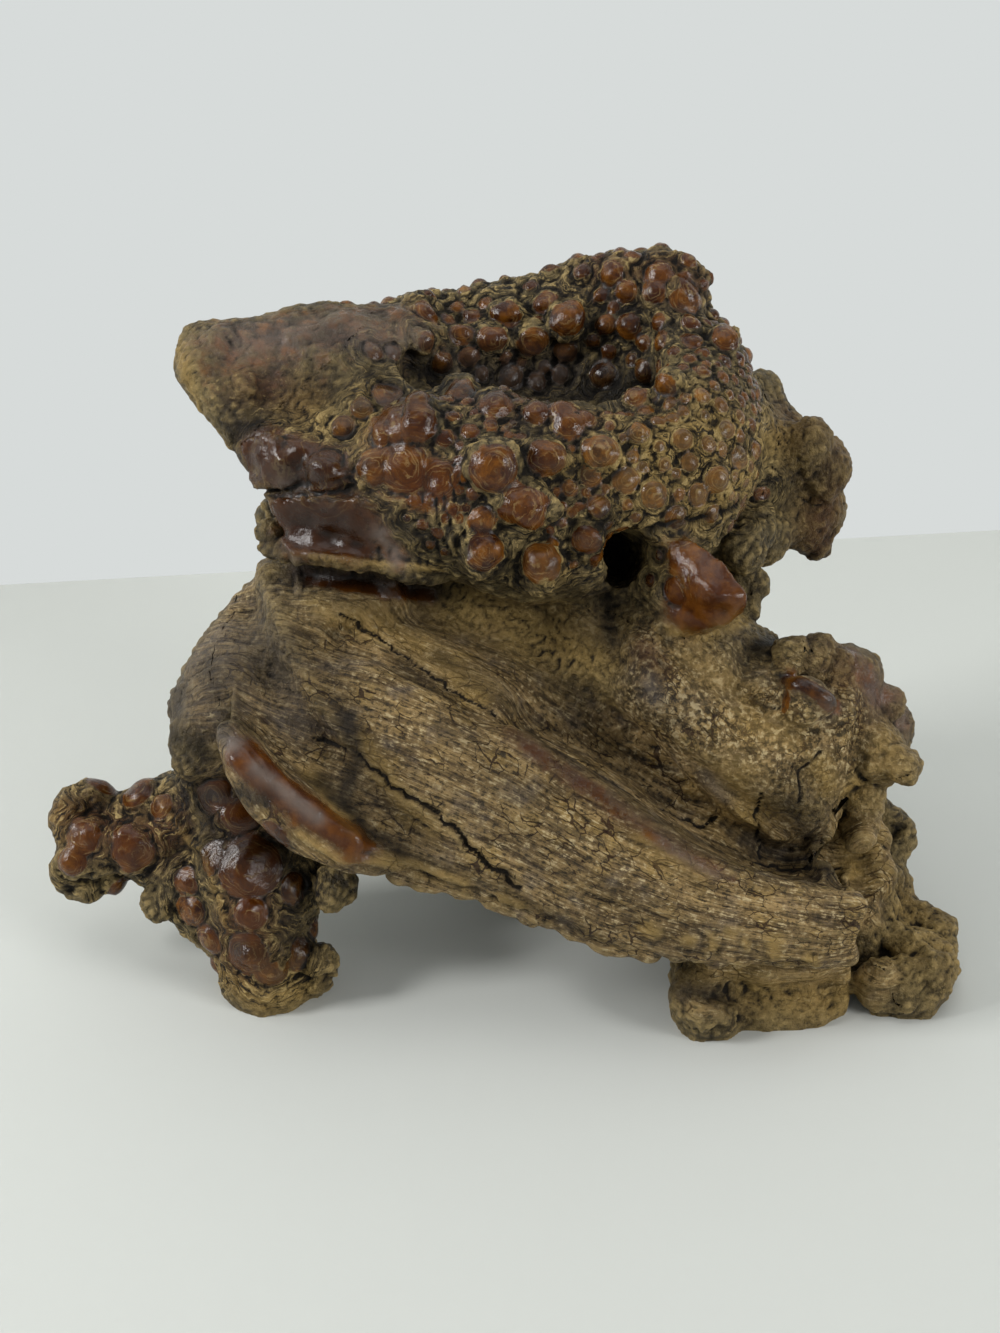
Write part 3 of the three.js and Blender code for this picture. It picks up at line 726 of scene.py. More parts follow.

# %% [markdown]
# ## Stains, painted shade and highlights, and glossy places
#
# More strokes say where the wood is dark, golden, red, grey or polished. Many dark strokes paint shade into
# the colour, and a few golden and grey ones paint highlights.

# %% Strokes of colour and gloss
# Strength, width in mm, pixels.
# Many dark rows paint shade into the colour: in the hollow and its holes, along the hollow's front rim, in
# the cleft under the crown, under the shelf, the lip and the saddle's lower edge, along the trough and
# round the feet. The others are dark stains and streaks.
DARK_AND_SHADE = [
    (1.0, 7.0, [(612, 535), (622, 572)]),
    (0.8, 4.0, [(608, 590), (612, 640)]),
    (0.5, 5.0, [(570, 590), (596, 610)]),
    (0.6, 4.5, [(430, 540), (470, 575), (530, 592)]),
    (0.8, 2.6, [(312, 573), (400, 588), (440, 598)]),
    (0.65, 3.2, [(405, 668), (447, 700)]),
    (0.5, 4.0, [(335, 705), (362, 735), (375, 760)]),
    (0.5, 3.0, [(520, 738), (583, 783), (667, 828), (750, 862), (830, 875)]),
    (0.35, 5.0, [(345, 600), (430, 622), (520, 668), (600, 705)]),
    (0.3, 5.0, [(300, 700), (380, 745), (460, 800), (540, 860), (640, 915)]),
    (0.8, 6.0, [(762, 842), (800, 858), (826, 868)]),
    (0.3, 4.0, [(640, 715), (665, 745)]),
    (0.6, 4.0, [(775, 810), (800, 820)]),
    (1.0, 3.0, [(755, 645), (790, 640), (805, 650)]),
    (0.5, 3.0, [(290, 640), (312, 690), (318, 735)]),
    (1.0, 6.0, [(418, 370), (444, 380)]),
    (1.0, 8.0, [(585, 394), (645, 386)]),
    (0.6, 6.0, [(470, 376), (540, 384), (600, 374), (650, 362)]),
    (0.55, 9.0, [(285, 520), (350, 525)]),
    (0.3, 8.0, [(262, 455), (320, 472)]),
    (0.5, 5.0, [(555, 335), (575, 350), (600, 335)]),
    (0.6, 3.0, [(505, 385), (520, 395), (545, 396)]),
    (0.8, 4.0, [(165, 735), (200, 745)]),
    (0.9, 3.5, [(195, 797), (240, 792), (262, 800)]),
    (0.7, 6.0, [(285, 850), (300, 930), (318, 950)]),
    (0.8, 3.0, [(238, 950), (262, 952)]),
    (0.7, 4.0, [(660, 980), (700, 995), (720, 1000)]),
    (1.0, 1.6, [(417, 446), (420, 450)]),
    (0.8, 3.0, [(395, 520), (415, 535), (432, 548)]),
    (0.7, 2.4, [(262, 490), (330, 492)]),
    (0.9, 3.5, [(232, 432), (258, 424)]),
    (0.7, 4.0, [(520, 425), (530, 437)]),
    (0.6, 5.0, [(755, 540), (770, 560)]),
    (0.6, 5.0, [(868, 960), (878, 980)]),
    (0.6, 2.6, [(786, 682), (812, 690), (828, 700)]),
    (0.35, 8.0, [(240, 640), (275, 700)]),
    (0.5, 4.5, [(300, 690), (325, 735), (345, 765)]),
    (0.8, 2.2, [(300, 566), (380, 576), (440, 586)]),
    (0.45, 10.0, [(215, 690), (260, 640), (300, 720)]),
    (0.5, 5.0, [(172, 690), (165, 750)]),
    (0.6, 8.0, [(322, 665), (348, 725), (378, 790), (412, 845)]),
    (0.55, 3.2, [(440, 655), (500, 697), (560, 742), (620, 790), (680, 842), (750, 868), (820, 884)]),
    (0.5, 6.0, [(325, 335), (370, 360), (410, 405)]),
    (0.9, 4.5, [(300, 573), (350, 578), (400, 584), (440, 590)]),
    (0.7, 4.0, [(300, 540), (360, 546)]),
    (0.8, 4.5, [(336, 705), (348, 725), (360, 760)]),
    (0.85, 3.4, [(322, 778), (340, 800), (370, 832), (402, 852)]),
    (0.55, 3.0, [(425, 860), (455, 868), (500, 890), (560, 920), (620, 945)]),
    (0.7, 3.2, [(515, 726), (540, 740), (600, 780), (660, 822), (720, 852)]),
    (0.4, 6.0, [(222, 842), (245, 850)]),
    (0.45, 4.0, [(165, 700), (162, 750)]),
    (0.8, 9.0, [(300, 522), (345, 525)]),
    (0.9, 3.0, [(608, 512), (602, 540)]),
    (0.8, 1.6, [(630, 545), (660, 528), (700, 518), (740, 505)]),
    (0.6, 7.0, [(780, 808), (815, 835)]),
    (0.5, 3.0, [(780, 650), (840, 655)]),
    (0.4, 8.0, [(460, 730), (520, 790)]),
    (0.8, 1.4, [(862, 772), (864, 776)]),
    (0.7, 4.0, [(865, 960), (872, 985)]),
    (0.6, 5.0, [(335, 890), (330, 905)]),
    (0.5, 5.0, [(578, 600), (600, 638)]),
    (0.8, 0.9, [(640, 938), (652, 945), (664, 939)]),
    (0.7, 0.9, [(679, 948), (689, 954), (700, 949)]),
    (0.6, 0.9, [(762, 950), (768, 964), (782, 966)]),
    (0.6, 0.8, [(704, 954), (718, 955), (724, 942)]),
    (0.6, 0.8, [(738, 944), (750, 956), (756, 942)]),
    (0.75, 5.0, [(785, 806), (818, 845)]),
    (0.35, 9.0, [(310, 385), (360, 395)]),
    (0.75, 8.0, [(262, 455), (322, 474)]),
    (0.65, 7.0, [(208, 665), (230, 720)]),
    (0.4, 9.0, [(560, 720), (650, 790)]),
    (0.8, 5.0, [(200, 800), (225, 855), (280, 838)]),
    (0.5, 2.6, [(350, 866), (430, 876), (500, 897), (600, 938), (660, 960)]),
    (0.35, 8.0, [(630, 640), (685, 700)]),
    (0.3, 6.0, [(300, 308), (380, 312)]),
    (0.6, 4.0, [(420, 398), (500, 392), (560, 402), (612, 403)]),
    (0.35, 6.0, [(625, 310), (650, 350)]),
    (0.5, 6.0, [(258, 530), (268, 556)]),
    (0.95, 4.6, [(346, 720), (358, 760), (342, 798), (368, 830), (400, 850)]),
    (0.6, 9.0, [(322, 700), (365, 790), (420, 850)]),
    (0.5, 6.5, [(370, 874), (440, 892), (520, 917), (600, 946), (680, 964)]),
    (0.4, 8.0, [(610, 600), (640, 660), (668, 722)]),
    (0.6, 5.0, [(204, 845), (226, 856)]),
]
# Golden and tan wood. The rows at the saddle's right end, from (853, 785) down to (868, 860), the one at
# (890, 745) and the one on the hooked arm at (815, 430) paint light: highlights, and light on an edge that
# lies in shade.
GOLD_AND_LIGHT = [
    (0.9, 12.0, [(640, 470), (720, 430)]),
    (0.95, 9.0, [(700, 500), (745, 480)]),
    (0.5, 5.0, [(570, 470), (602, 462)]),
    (0.5, 5.0, [(545, 565), (560, 575)]),
    (0.8, 2.4, [(668, 630), (700, 636), (735, 622), (750, 606)]),
    (0.7, 2.5, [(178, 350), (195, 400), (222, 445)]),
    (0.6, 5.0, [(330, 615), (380, 618), (430, 650), (480, 690)]),
    (0.9, 4.0, [(225, 975), (262, 1003), (300, 990)]),
    (0.8, 2.2, [(300, 835), (345, 860), (410, 862), (440, 875), (520, 905)]),
    (0.8, 2.6, [(310, 775), (340, 812), (355, 830)]),
    (0.7, 3.0, [(365, 745), (400, 800), (430, 830)]),
    (0.9, 1.2, [(157, 797), (180, 830), (205, 855), (215, 890), (228, 925)]),
    (0.8, 4.0, [(60, 815), (68, 840)]),
    (0.8, 1.2, [(296, 552), (330, 558), (380, 564), (440, 568)]),
    (0.6, 6.0, [(310, 405), (320, 425)]),
    (0.6, 5.0, [(360, 395), (380, 455)]),
    (0.6, 5.0, [(755, 720), (790, 735)]),
    (0.8, 4.0, [(820, 765), (828, 785)]),
    (0.8, 5.0, [(868, 800), (860, 830), (858, 860)]),
    (0.7, 8.0, [(440, 600), (520, 630), (590, 655)]),
    (0.6, 8.0, [(862, 790), (866, 850)]),
    (0.7, 9.0, [(725, 775), (745, 815)]),
    (0.75, 9.0, [(760, 985), (840, 1000)]),
    (0.65, 10.0, [(905, 915), (940, 955), (920, 990)]),
    (0.6, 7.0, [(255, 965), (300, 975)]),
    (0.7, 6.0, [(890, 745), (885, 765)]),
    (0.9, 2.0, [(650, 930), (655, 932)]),
    (0.9, 1.8, [(687, 940), (692, 940)]),
    (0.8, 1.4, [(710, 936), (714, 946)]),
    (0.8, 1.5, [(729, 932), (733, 934)]),
    (0.9, 2.2, [(775, 942), (773, 953)]),
    (0.8, 1.2, [(744, 940), (748, 950)]),
    (0.9, 1.4, [(806, 955), (814, 962)]),
    (1.0, 4.5, [(853, 785), (853, 870)]),
    (0.5, 6.0, [(690, 660), (730, 690), (760, 730)]),
    (0.7, 3.0, [(640, 838), (672, 858), (700, 872)]),
    (0.6, 4.0, [(640, 955), (700, 972)]),
    (0.6, 7.0, [(815, 430), (835, 480)]),
]
RED = [
    (1.0, 8.0, [(262, 455), (318, 470)]),
    (1.0, 7.0, [(290, 520), (352, 525)]),
    (0.9, 6.0, [(385, 420), (390, 465), (430, 485)]),
    (0.9, 2.4, [(312, 580), (400, 592), (430, 596)]),
    (0.55, 5.5, [(245, 752), (300, 800), (362, 845)]),
    (0.25, 6.0, [(690, 560), (735, 600), (690, 612)]),
    (0.9, 9.0, [(75, 820), (140, 835), (160, 830)]),
    (0.9, 9.0, [(230, 800), (250, 870), (240, 955)]),
    (0.6, 3.0, [(512, 732), (560, 765), (617, 808), (667, 842), (712, 868)]),
    (0.5, 7.0, [(250, 385), (300, 400)]),
    (0.6, 8.0, [(600, 265), (700, 275)]),
    (0.6, 4.0, [(465, 400), (600, 415)]),
    (0.5, 6.0, [(790, 535), (815, 545)]),
    (0.6, 4.0, [(640, 645), (660, 665)]),
    (0.7, 9.0, [(800, 430), (835, 470), (815, 530)]),
    (0.8, 2.6, [(300, 573), (350, 578), (400, 584)]),
    (0.9, 4.5, [(300, 540), (360, 546)]),
    (0.5, 8.0, [(835, 655), (895, 715)]),
]
# Grey wood. Two rows paint highlights: one along the crest and one along the lip's roll.
GREY_AND_HIGHLIGHT = [
    (1.0, 3.0, [(218, 732), (232, 742)]),
    (0.6, 12.0, [(215, 640), (180, 700), (240, 650)]),
    (0.5, 7.0, [(270, 640), (300, 720)]),
    (0.4, 2.0, [(826, 700), (832, 712)]),
    (0.3, 5.0, [(895, 690), (900, 730)]),
    (0.5, 8.0, [(240, 340), (340, 330), (400, 345)]),
    (0.5, 7.0, [(470, 375), (560, 375)]),
    (0.9, 2.6, [(380, 533), (398, 560)]),
    # Painted sheen along the crest.
    (0.4, 1.6, [(660, 840), (690, 862), (715, 876)]),
    (0.7, 3.0, [(705, 775), (722, 800)]),
    # Painted highlight along the top of the lip's roll.
    (0.85, 2.2, [(256, 768), (290, 797), (318, 818)]),
    (0.7, 3.0, [(648, 686), (655, 700)]),
    (0.8, 3.0, [(280, 470), (292, 482)]),
    (0.6, 1.2, [(297, 560), (298, 592)]),
]
GLOSS = [
    (1.0, 7.0, [(262, 455), (318, 470)]),
    (1.0, 7.0, [(290, 520), (352, 525)]),
    (0.8, 7.0, [(385, 420), (390, 465), (430, 485)]),
    (0.8, 2.4, [(312, 580), (400, 592), (430, 596)]),
    (1.0, 4.5, [(300, 540), (360, 546)]),
    (1.0, 6.0, [(245, 752), (300, 800), (362, 845)]),
    (1.0, 7.0, [(690, 556), (735, 600), (690, 612)]),
    (1.0, 2.4, [(788, 680), (815, 690), (832, 706)]),
    (0.5, 5.0, [(850, 655), (896, 720)]),
    (0.7, 3.0, [(380, 533), (398, 560)]),
    (0.42, 14.0, [(230, 350), (330, 330), (400, 315)]),
    (0.45, 2.5, [(525, 746), (633, 821), (679, 854), (733, 879)]),
]
dark, gold_and_light, red, grey_and_highlight, gloss = (strokes(skin, rows) for rows in (DARK_AND_SHADE, GOLD_AND_LIGHT, RED, GREY_AND_HIGHLIGHT, GLOSS))
# The dark marks counted here include painted shade.
print("points with a stain:", int((np.maximum(dark, red) > 0.3).sum()))

# %% Where the wood is bare
# Bare wood covers the saddle and the knob; bark and beads cover the crown and the feet. The neck
# between crown and saddle is barky too. Strength, width in mm, pixels.
KNOB = [(1.0, 22.0, [(660, 680), (740, 730), (840, 740)])]
NECK = [
    (1.0, 9.0, [(430, 582), (500, 610), (560, 645), (600, 680)]),
    (0.8, 8.0, [(262, 600), (280, 660)]),
]
to_knob, to_neck = strokes(skin, KNOB), strokes(skin, NECK)
on_saddle = np.clip((18 - grain[:, 2]) / 6, 0, 1) * (normal[:, 1] < 0.5)
under_crown = np.clip((112 - skin[:, 2]) / 12, 0, 1)
bare = np.clip(np.maximum(on_saddle, to_knob), 0, 1) * under_crown * (1 - to_neck)
bare = smoothed(bare, faces, 6)
print("share of bare wood:", bare.mean().round(2))

# %% [markdown]
# ## Patterns that move the skin
#
# Each point now moves along its outward direction: a groove round every bead, ridges and furrows
# along the grain, pits in the feet, cracks, and an uneven bark over all that is neither bead nor
# polished. Near the ground the moves fade, so that the feet keep their flat soles.

# %% Cracks
# Depth as a share, width in mm, pixels.
CRACKS = [
    (0.6, 0.45, [(315, 737), (357, 755), (377, 772)]),
    (0.9, 0.6, [(377, 772), (405, 797), (435, 812), (460, 835), (482, 860), (502, 875), (519, 887)]),
    (1.0, 1.4, [(428, 808), (436, 813)]),
    (1.0, 1.3, [(500, 873), (512, 882)]),
    (0.5, 0.45, [(340, 618), (370, 632), (430, 672), (470, 700), (497, 715)]),
    (0.8, 0.55, [(655, 805), (680, 815), (705, 825), (714, 818)]),
    (0.5, 0.45, [(820, 750), (797, 775), (800, 802)]),
    (0.4, 0.4, [(760, 795), (756, 840), (762, 858)]),
    (0.4, 0.45, [(740, 860), (780, 868), (845, 870)]),
    (0.8, 0.7, [(648, 532), (675, 522), (715, 515), (740, 505)]),
    (0.6, 0.5, [(563, 545), (568, 565)]),
]
wave = np.stack([lumps(skin, 3.5, 20 + axis) for axis in range(3)], axis=1)
wave -= normal * (wave * normal).sum(axis=1, keepdims=True)  # the lines wander on the skin, not off it
crack = strokes(skin + 1.1 * wave, CRACKS)
print("deepest crack:", crack.max().round(2))

# %% Thin ridges
def oval(x, y, width, height):
    """Pixels on an oval line round a pixel."""
    turn = np.linspace(0, 2 * np.pi, 13)
    return list(zip(x + width / 2 * np.cos(turn), y + height / 2 * np.sin(turn)))


# The edges of the flat-sided blocks and of the shelf, strands that sweep down beside the beads, the
# rims on the knob and round its knothole, and small bumps on the saddle. Height in mm, width in mm,
# pixels.
RIDGES = [
    (0.9, 0.8, [(262, 496), (300, 490), (342, 486)]),
    (0.9, 0.8, [(294, 552), (330, 558), (380, 564), (440, 568), (458, 575)]),
    (0.8, 0.7, [(372, 500), (400, 500), (430, 508)]),
    (0.9, 0.7, [(297, 560), (298, 592)]),
    (1.0, 0.8, [(262, 500), (275, 530), (296, 556)]),
    (0.8, 0.7, [(446, 478), (452, 510), (464, 545)]),
    (0.8, 0.7, [(455, 476), (461, 510), (473, 542)]),
    (0.7, 0.7, [(438, 488), (443, 520), (453, 550)]),
    (0.7, 0.7, [(430, 500), (434, 525), (444, 552)]),
    (1.4, 2.0, [(786, 682), (812, 690), (830, 702), (833, 716)]),
    (1.1, 2.0, [(650, 930), (655, 932)]),
    (1.1, 1.8, [(687, 940), (691, 940)]),
    (1.0, 1.6, [(729, 932), (733, 934)]),
    (1.0, 1.8, [(518, 821), (523, 823)]),
    (1.0, 0.8, [(706, 931), (716, 938), (714, 948), (706, 952)]),
    (1.0, 0.7, [(738, 930), (747, 938), (744, 950)]),
    (1.4, 2.2, [(776, 942), (773, 954)]),
    (1.0, 1.0, [(806, 955), (814, 962)]),
    (1.0, 0.8, oval(862, 772, 26, 22)),
    (0.9, 0.8, [(696, 960), (720, 958), (745, 966)]),
    (0.9, 1.4, [(520, 820), (524, 826)]),
    (0.8, 1.2, [(812, 958), (818, 964)]),
    (1.0, 1.2, [(157, 797), (180, 830), (205, 855), (215, 890), (228, 925)]),
    (1.0, 1.0, [(300, 835), (345, 860), (410, 862), (440, 875), (520, 905)]),
    (1.0, 1.4, [(360, 395), (378, 425), (384, 455)]),
    (1.0, 1.4, [(305, 405), (322, 415), (318, 430)]),
]
thin_ridge = strokes(skin, RIDGES)
print("thin ridges:", len(RIDGES))

# %% The moves
bark = (1 - on_bead) * (1 - np.clip(gloss, 0, 1)) * (1 - bare)
near_bead = np.clip((8 - ring) / 5, 0.15, 1)
flow = np.stack([grain[:, 0] / 16, grain[:, 1] / 2.6, 0 * gap], axis=1)
fine_flow = np.stack([grain[:, 0] / 7, grain[:, 1] / 1.5, 0 * gap + 3], axis=1)
flute = np.stack([grain[:, 0] / 70, grain[:, 1] / 8, 0 * gap + 7], axis=1)
slant = np.stack([skin[:, 0] + 0.6 * skin[:, 1], skin[:, 2] - 0.6 * skin[:, 1]], axis=1)
strand = np.column_stack([slant / 6.0, (ring + 0.8 * lumps(skin, 3.0, 12)) / 1.5])
move = 0.6 * lumps(skin, 9.0, 1) * (1 - 0.6 * bare)
move += bark * (0.9 * np.abs(lumps(skin, 4.2, 2)) + 0.7 * np.abs(lumps(skin, 2.4, 3)) - 0.35)
move += gloss * 0.6 * lumps(skin, 4.5, 15)
move += (1 - bare) * (1 - 0.8 * on_bead) * 0.35 * near_bead * lumps(strand, 1.0, 13)
move += bare * (1.1 * lumps(flute, 1.0, 9) + 0.35 * lumps(flow, 1.0, 4) + 0.2 * lumps(fine_flow, 1.0, 5))
# Furrows are broken lines about 3.4 mm apart that wander as they run along the grain.
lane = grain[:, 1] / 3.4 + 1.5 * lumps(flow * [0.5, 0.25, 1], 1.0, 6)
broken = np.clip(2.5 * lumps(flow * [1, 0.6, 1], 1.0, 7), 0, 1)
furrow = broken * np.exp(-(3.4 * (lane - np.round(lane)) / 0.7) ** 2)
move -= bare * (1 - np.clip(gloss, 0, 1)) * 0.35 * furrow
move -= (1 - bare) * 0.6 * np.exp(-((gap - 0.5) / 0.8) ** 2)
move += thin_ridge - 1.8 * crack
pits = np.clip(lumps(skin, 6.0, 8) - 0.42, 0, 1) * np.clip((skin[:, 2] < 74) * (1 - bare), 0, 1)
move -= 3.0 * pits * (1 - on_bead)
move *= np.clip(skin[:, 2] / 4, 0, 1)
skin = skin + normal * move[:, None]
skin = np.clip(skin, low_corner, high_corner)
normal = normals_of(skin, faces)
print("moves in mm:", move.min().round(2), "to", move.max().round(2))

# %% Hollows and crests
def hollow_at(rounds):
    """How far, in mm, a smoothed skin lies outside each point: above zero in a hollow."""
    return ((smoothed(skin, faces, rounds) - skin) * normal).sum(axis=1)


fine_hollow, broad_hollow = hollow_at(4), hollow_at(40)
print("hollows in mm:", fine_hollow.max().round(2), broad_hollow.max().round(2))

# %% [markdown]
# ## Pieces
#
# The skin is cut where the root forks, so that each solid has one piece that stands for it. The
# cut follows the edges between faces. Both sides keep the same points and the outward directions
# of the whole skin, so no seam shows, and each side is closed by a flat cap inside the wood.

# %% Which piece each face belongs to
# Place and direction of each cut: a face beyond the plane belongs to the piece after it.
CUTS = {
    "upper": ((-58, -23.8, 110), (0.15, 0.1, 1)),
    "left_spur": ((-57, -15.8, 146), (-0.6, 0, 0.8)),
    "right_spur": ((63, 22.2, 126), (0.85, 0.4, -0.35)),
    "back": ((-2, 32.2, 60), (0, 0.9, -0.45)),
    "flange": ((-64, -19.8, 76), (-0.8, 0.35, -0.5)),
    "right_lower": ((84, -15.8, 52), (0.5, 0, -0.87)),
    "right_outer": ((88, -51.8, 0), (0.7, 0.7, 0)),
}
face_middle = skin[faces].mean(axis=1)
beyond = {name: (face_middle - place) @ np.array(facing) > 0 for name, (place, facing) in CUTS.items()}
left_side = beyond["flange"] | ((face_middle[:, 0] < -32) & (face_middle[:, 2] < 46))
right_side = beyond["right_lower"] & beyond["right_outer"]
PIECES = {
    "left_spur": beyond["upper"] & beyond["left_spur"],
    "right_spur": beyond["upper"] & beyond["right_spur"],
    "burl_crown": beyond["upper"],
    "back_left_root": beyond["back"] & (face_middle[:, 0] < 22),
    "back_right_root": beyond["back"],
    "left_root": left_side,
    "right_root": right_side,
    "saddle_trunk": np.ones(len(faces), bool),
}
BURL_PIECES = ("burl_crown", "left_root")
owner = np.full(len(faces), "", dtype="<U20")
for name, chosen in PIECES.items():
    owner[(owner == "") & chosen] = name
print({name: int(2 * (owner == name).sum()) for name in PIECES})

# %% [markdown]
# ## Old burl wood
#
# The real material is root burl, oiled and handled until it shines. The beads are dense red-brown
# wood polished to a satin gloss. Between them lies fibrous khaki bark with fine lines that run
# round each bead, and shade is painted into its creases, down to black. The saddle is bare
# weathered wood, tan with dark streaks along the grain. All three are one material, mixed by
# numbers kept on the skin.

# %% The numbers kept on the skin
KEPT_NUMBERS = {
    "polish": np.clip(np.maximum(on_bead * nearest[:, 7], gloss), 0, 1),
    "ring": ring,
    "crazed": np.clip(to_knob * 1.5 - 0.3, 0, 1),
    "tone": bead_tone,
    "bare": bare,
    "dark": dark,
    "gold_and_light": gold_and_light,
    "red": red,
    "grey_and_highlight": grey_and_highlight,
    "crack": np.maximum(crack, 0.2 * bare * (1 - np.clip(gloss, 0, 1)) * furrow),
    "fine_hollow": fine_hollow,
    "broad_hollow": broad_hollow * (1 - 0.7 * to_neck),
}
print("numbers on each point:", len(KEPT_NUMBERS))

# %% Colours and the function that adds a node
def colour(sheet):
    """Linear colour from an sRGB hex value: each channel is raised as the sRGB standard says."""
    channels = np.array([int(sheet[i:i + 2], 16) for i in (1, 3, 5)]) / 255
    linear = np.where(channels <= 0.04045, channels / 12.92, ((channels + 0.055) / 1.055) ** 2.4)
    return (*linear.tolist(), 1.0)


def add(tree, kind, inputs=None, **settings):
    """Adds a node with its settings. An input is a value, or the output that it is linked to."""
    made = tree.nodes.new(kind)
    for name, value in settings.items():
        setattr(made, name, value)
    for name, value in (inputs or {}).items():
        if isinstance(value, bpy.types.NodeSocket):
            tree.links.new(value, made.inputs[name])
        else:
            made.inputs[name].default_value = value
    return made


MIX_A, MIX_B, MIXED = 6, 7, 2  # the colour sockets of a Mix node
MAHOGANY, OXBLOOD, AMBER = colour("#4a2406"), colour("#281005"), colour("#7a4a10")
STRAW, OLIVE, KHAKI = colour("#ad9562"), colour("#352d1e"), colour("#6e5f3d")
# The first near-black below colours the dark fibres and the painted shade.
SOOT_AND_SHADE, ASH, BLEACHED = colour("#0c0805"), colour("#6b625b"), colour("#cbb68a")
TAN, UMBER, OCHRE = colour("#ae9160"), colour("#463520"), colour("#a3864b")

# %% The material
# Sizes of the patterns in mm.
SPECKLE, PATCH, CLOUD = 1.6, 4.0, 9.0
STRAND_LENGTH, STRAND_WIDTH = 5.0, 0.4
STREAK_LENGTH, STREAK_WIDTH = 18.0, 1.5
BAND_LENGTH, BAND_WIDTH = 45.0, 9.0
FIBRE_LENGTH, FIBRE_WIDTH = 5.0, 0.55
CHECK_LENGTH, CHECK_WIDTH = 5.0, 2.6
CRAZE = 5.2
BUMP_HEIGHT = 1.4


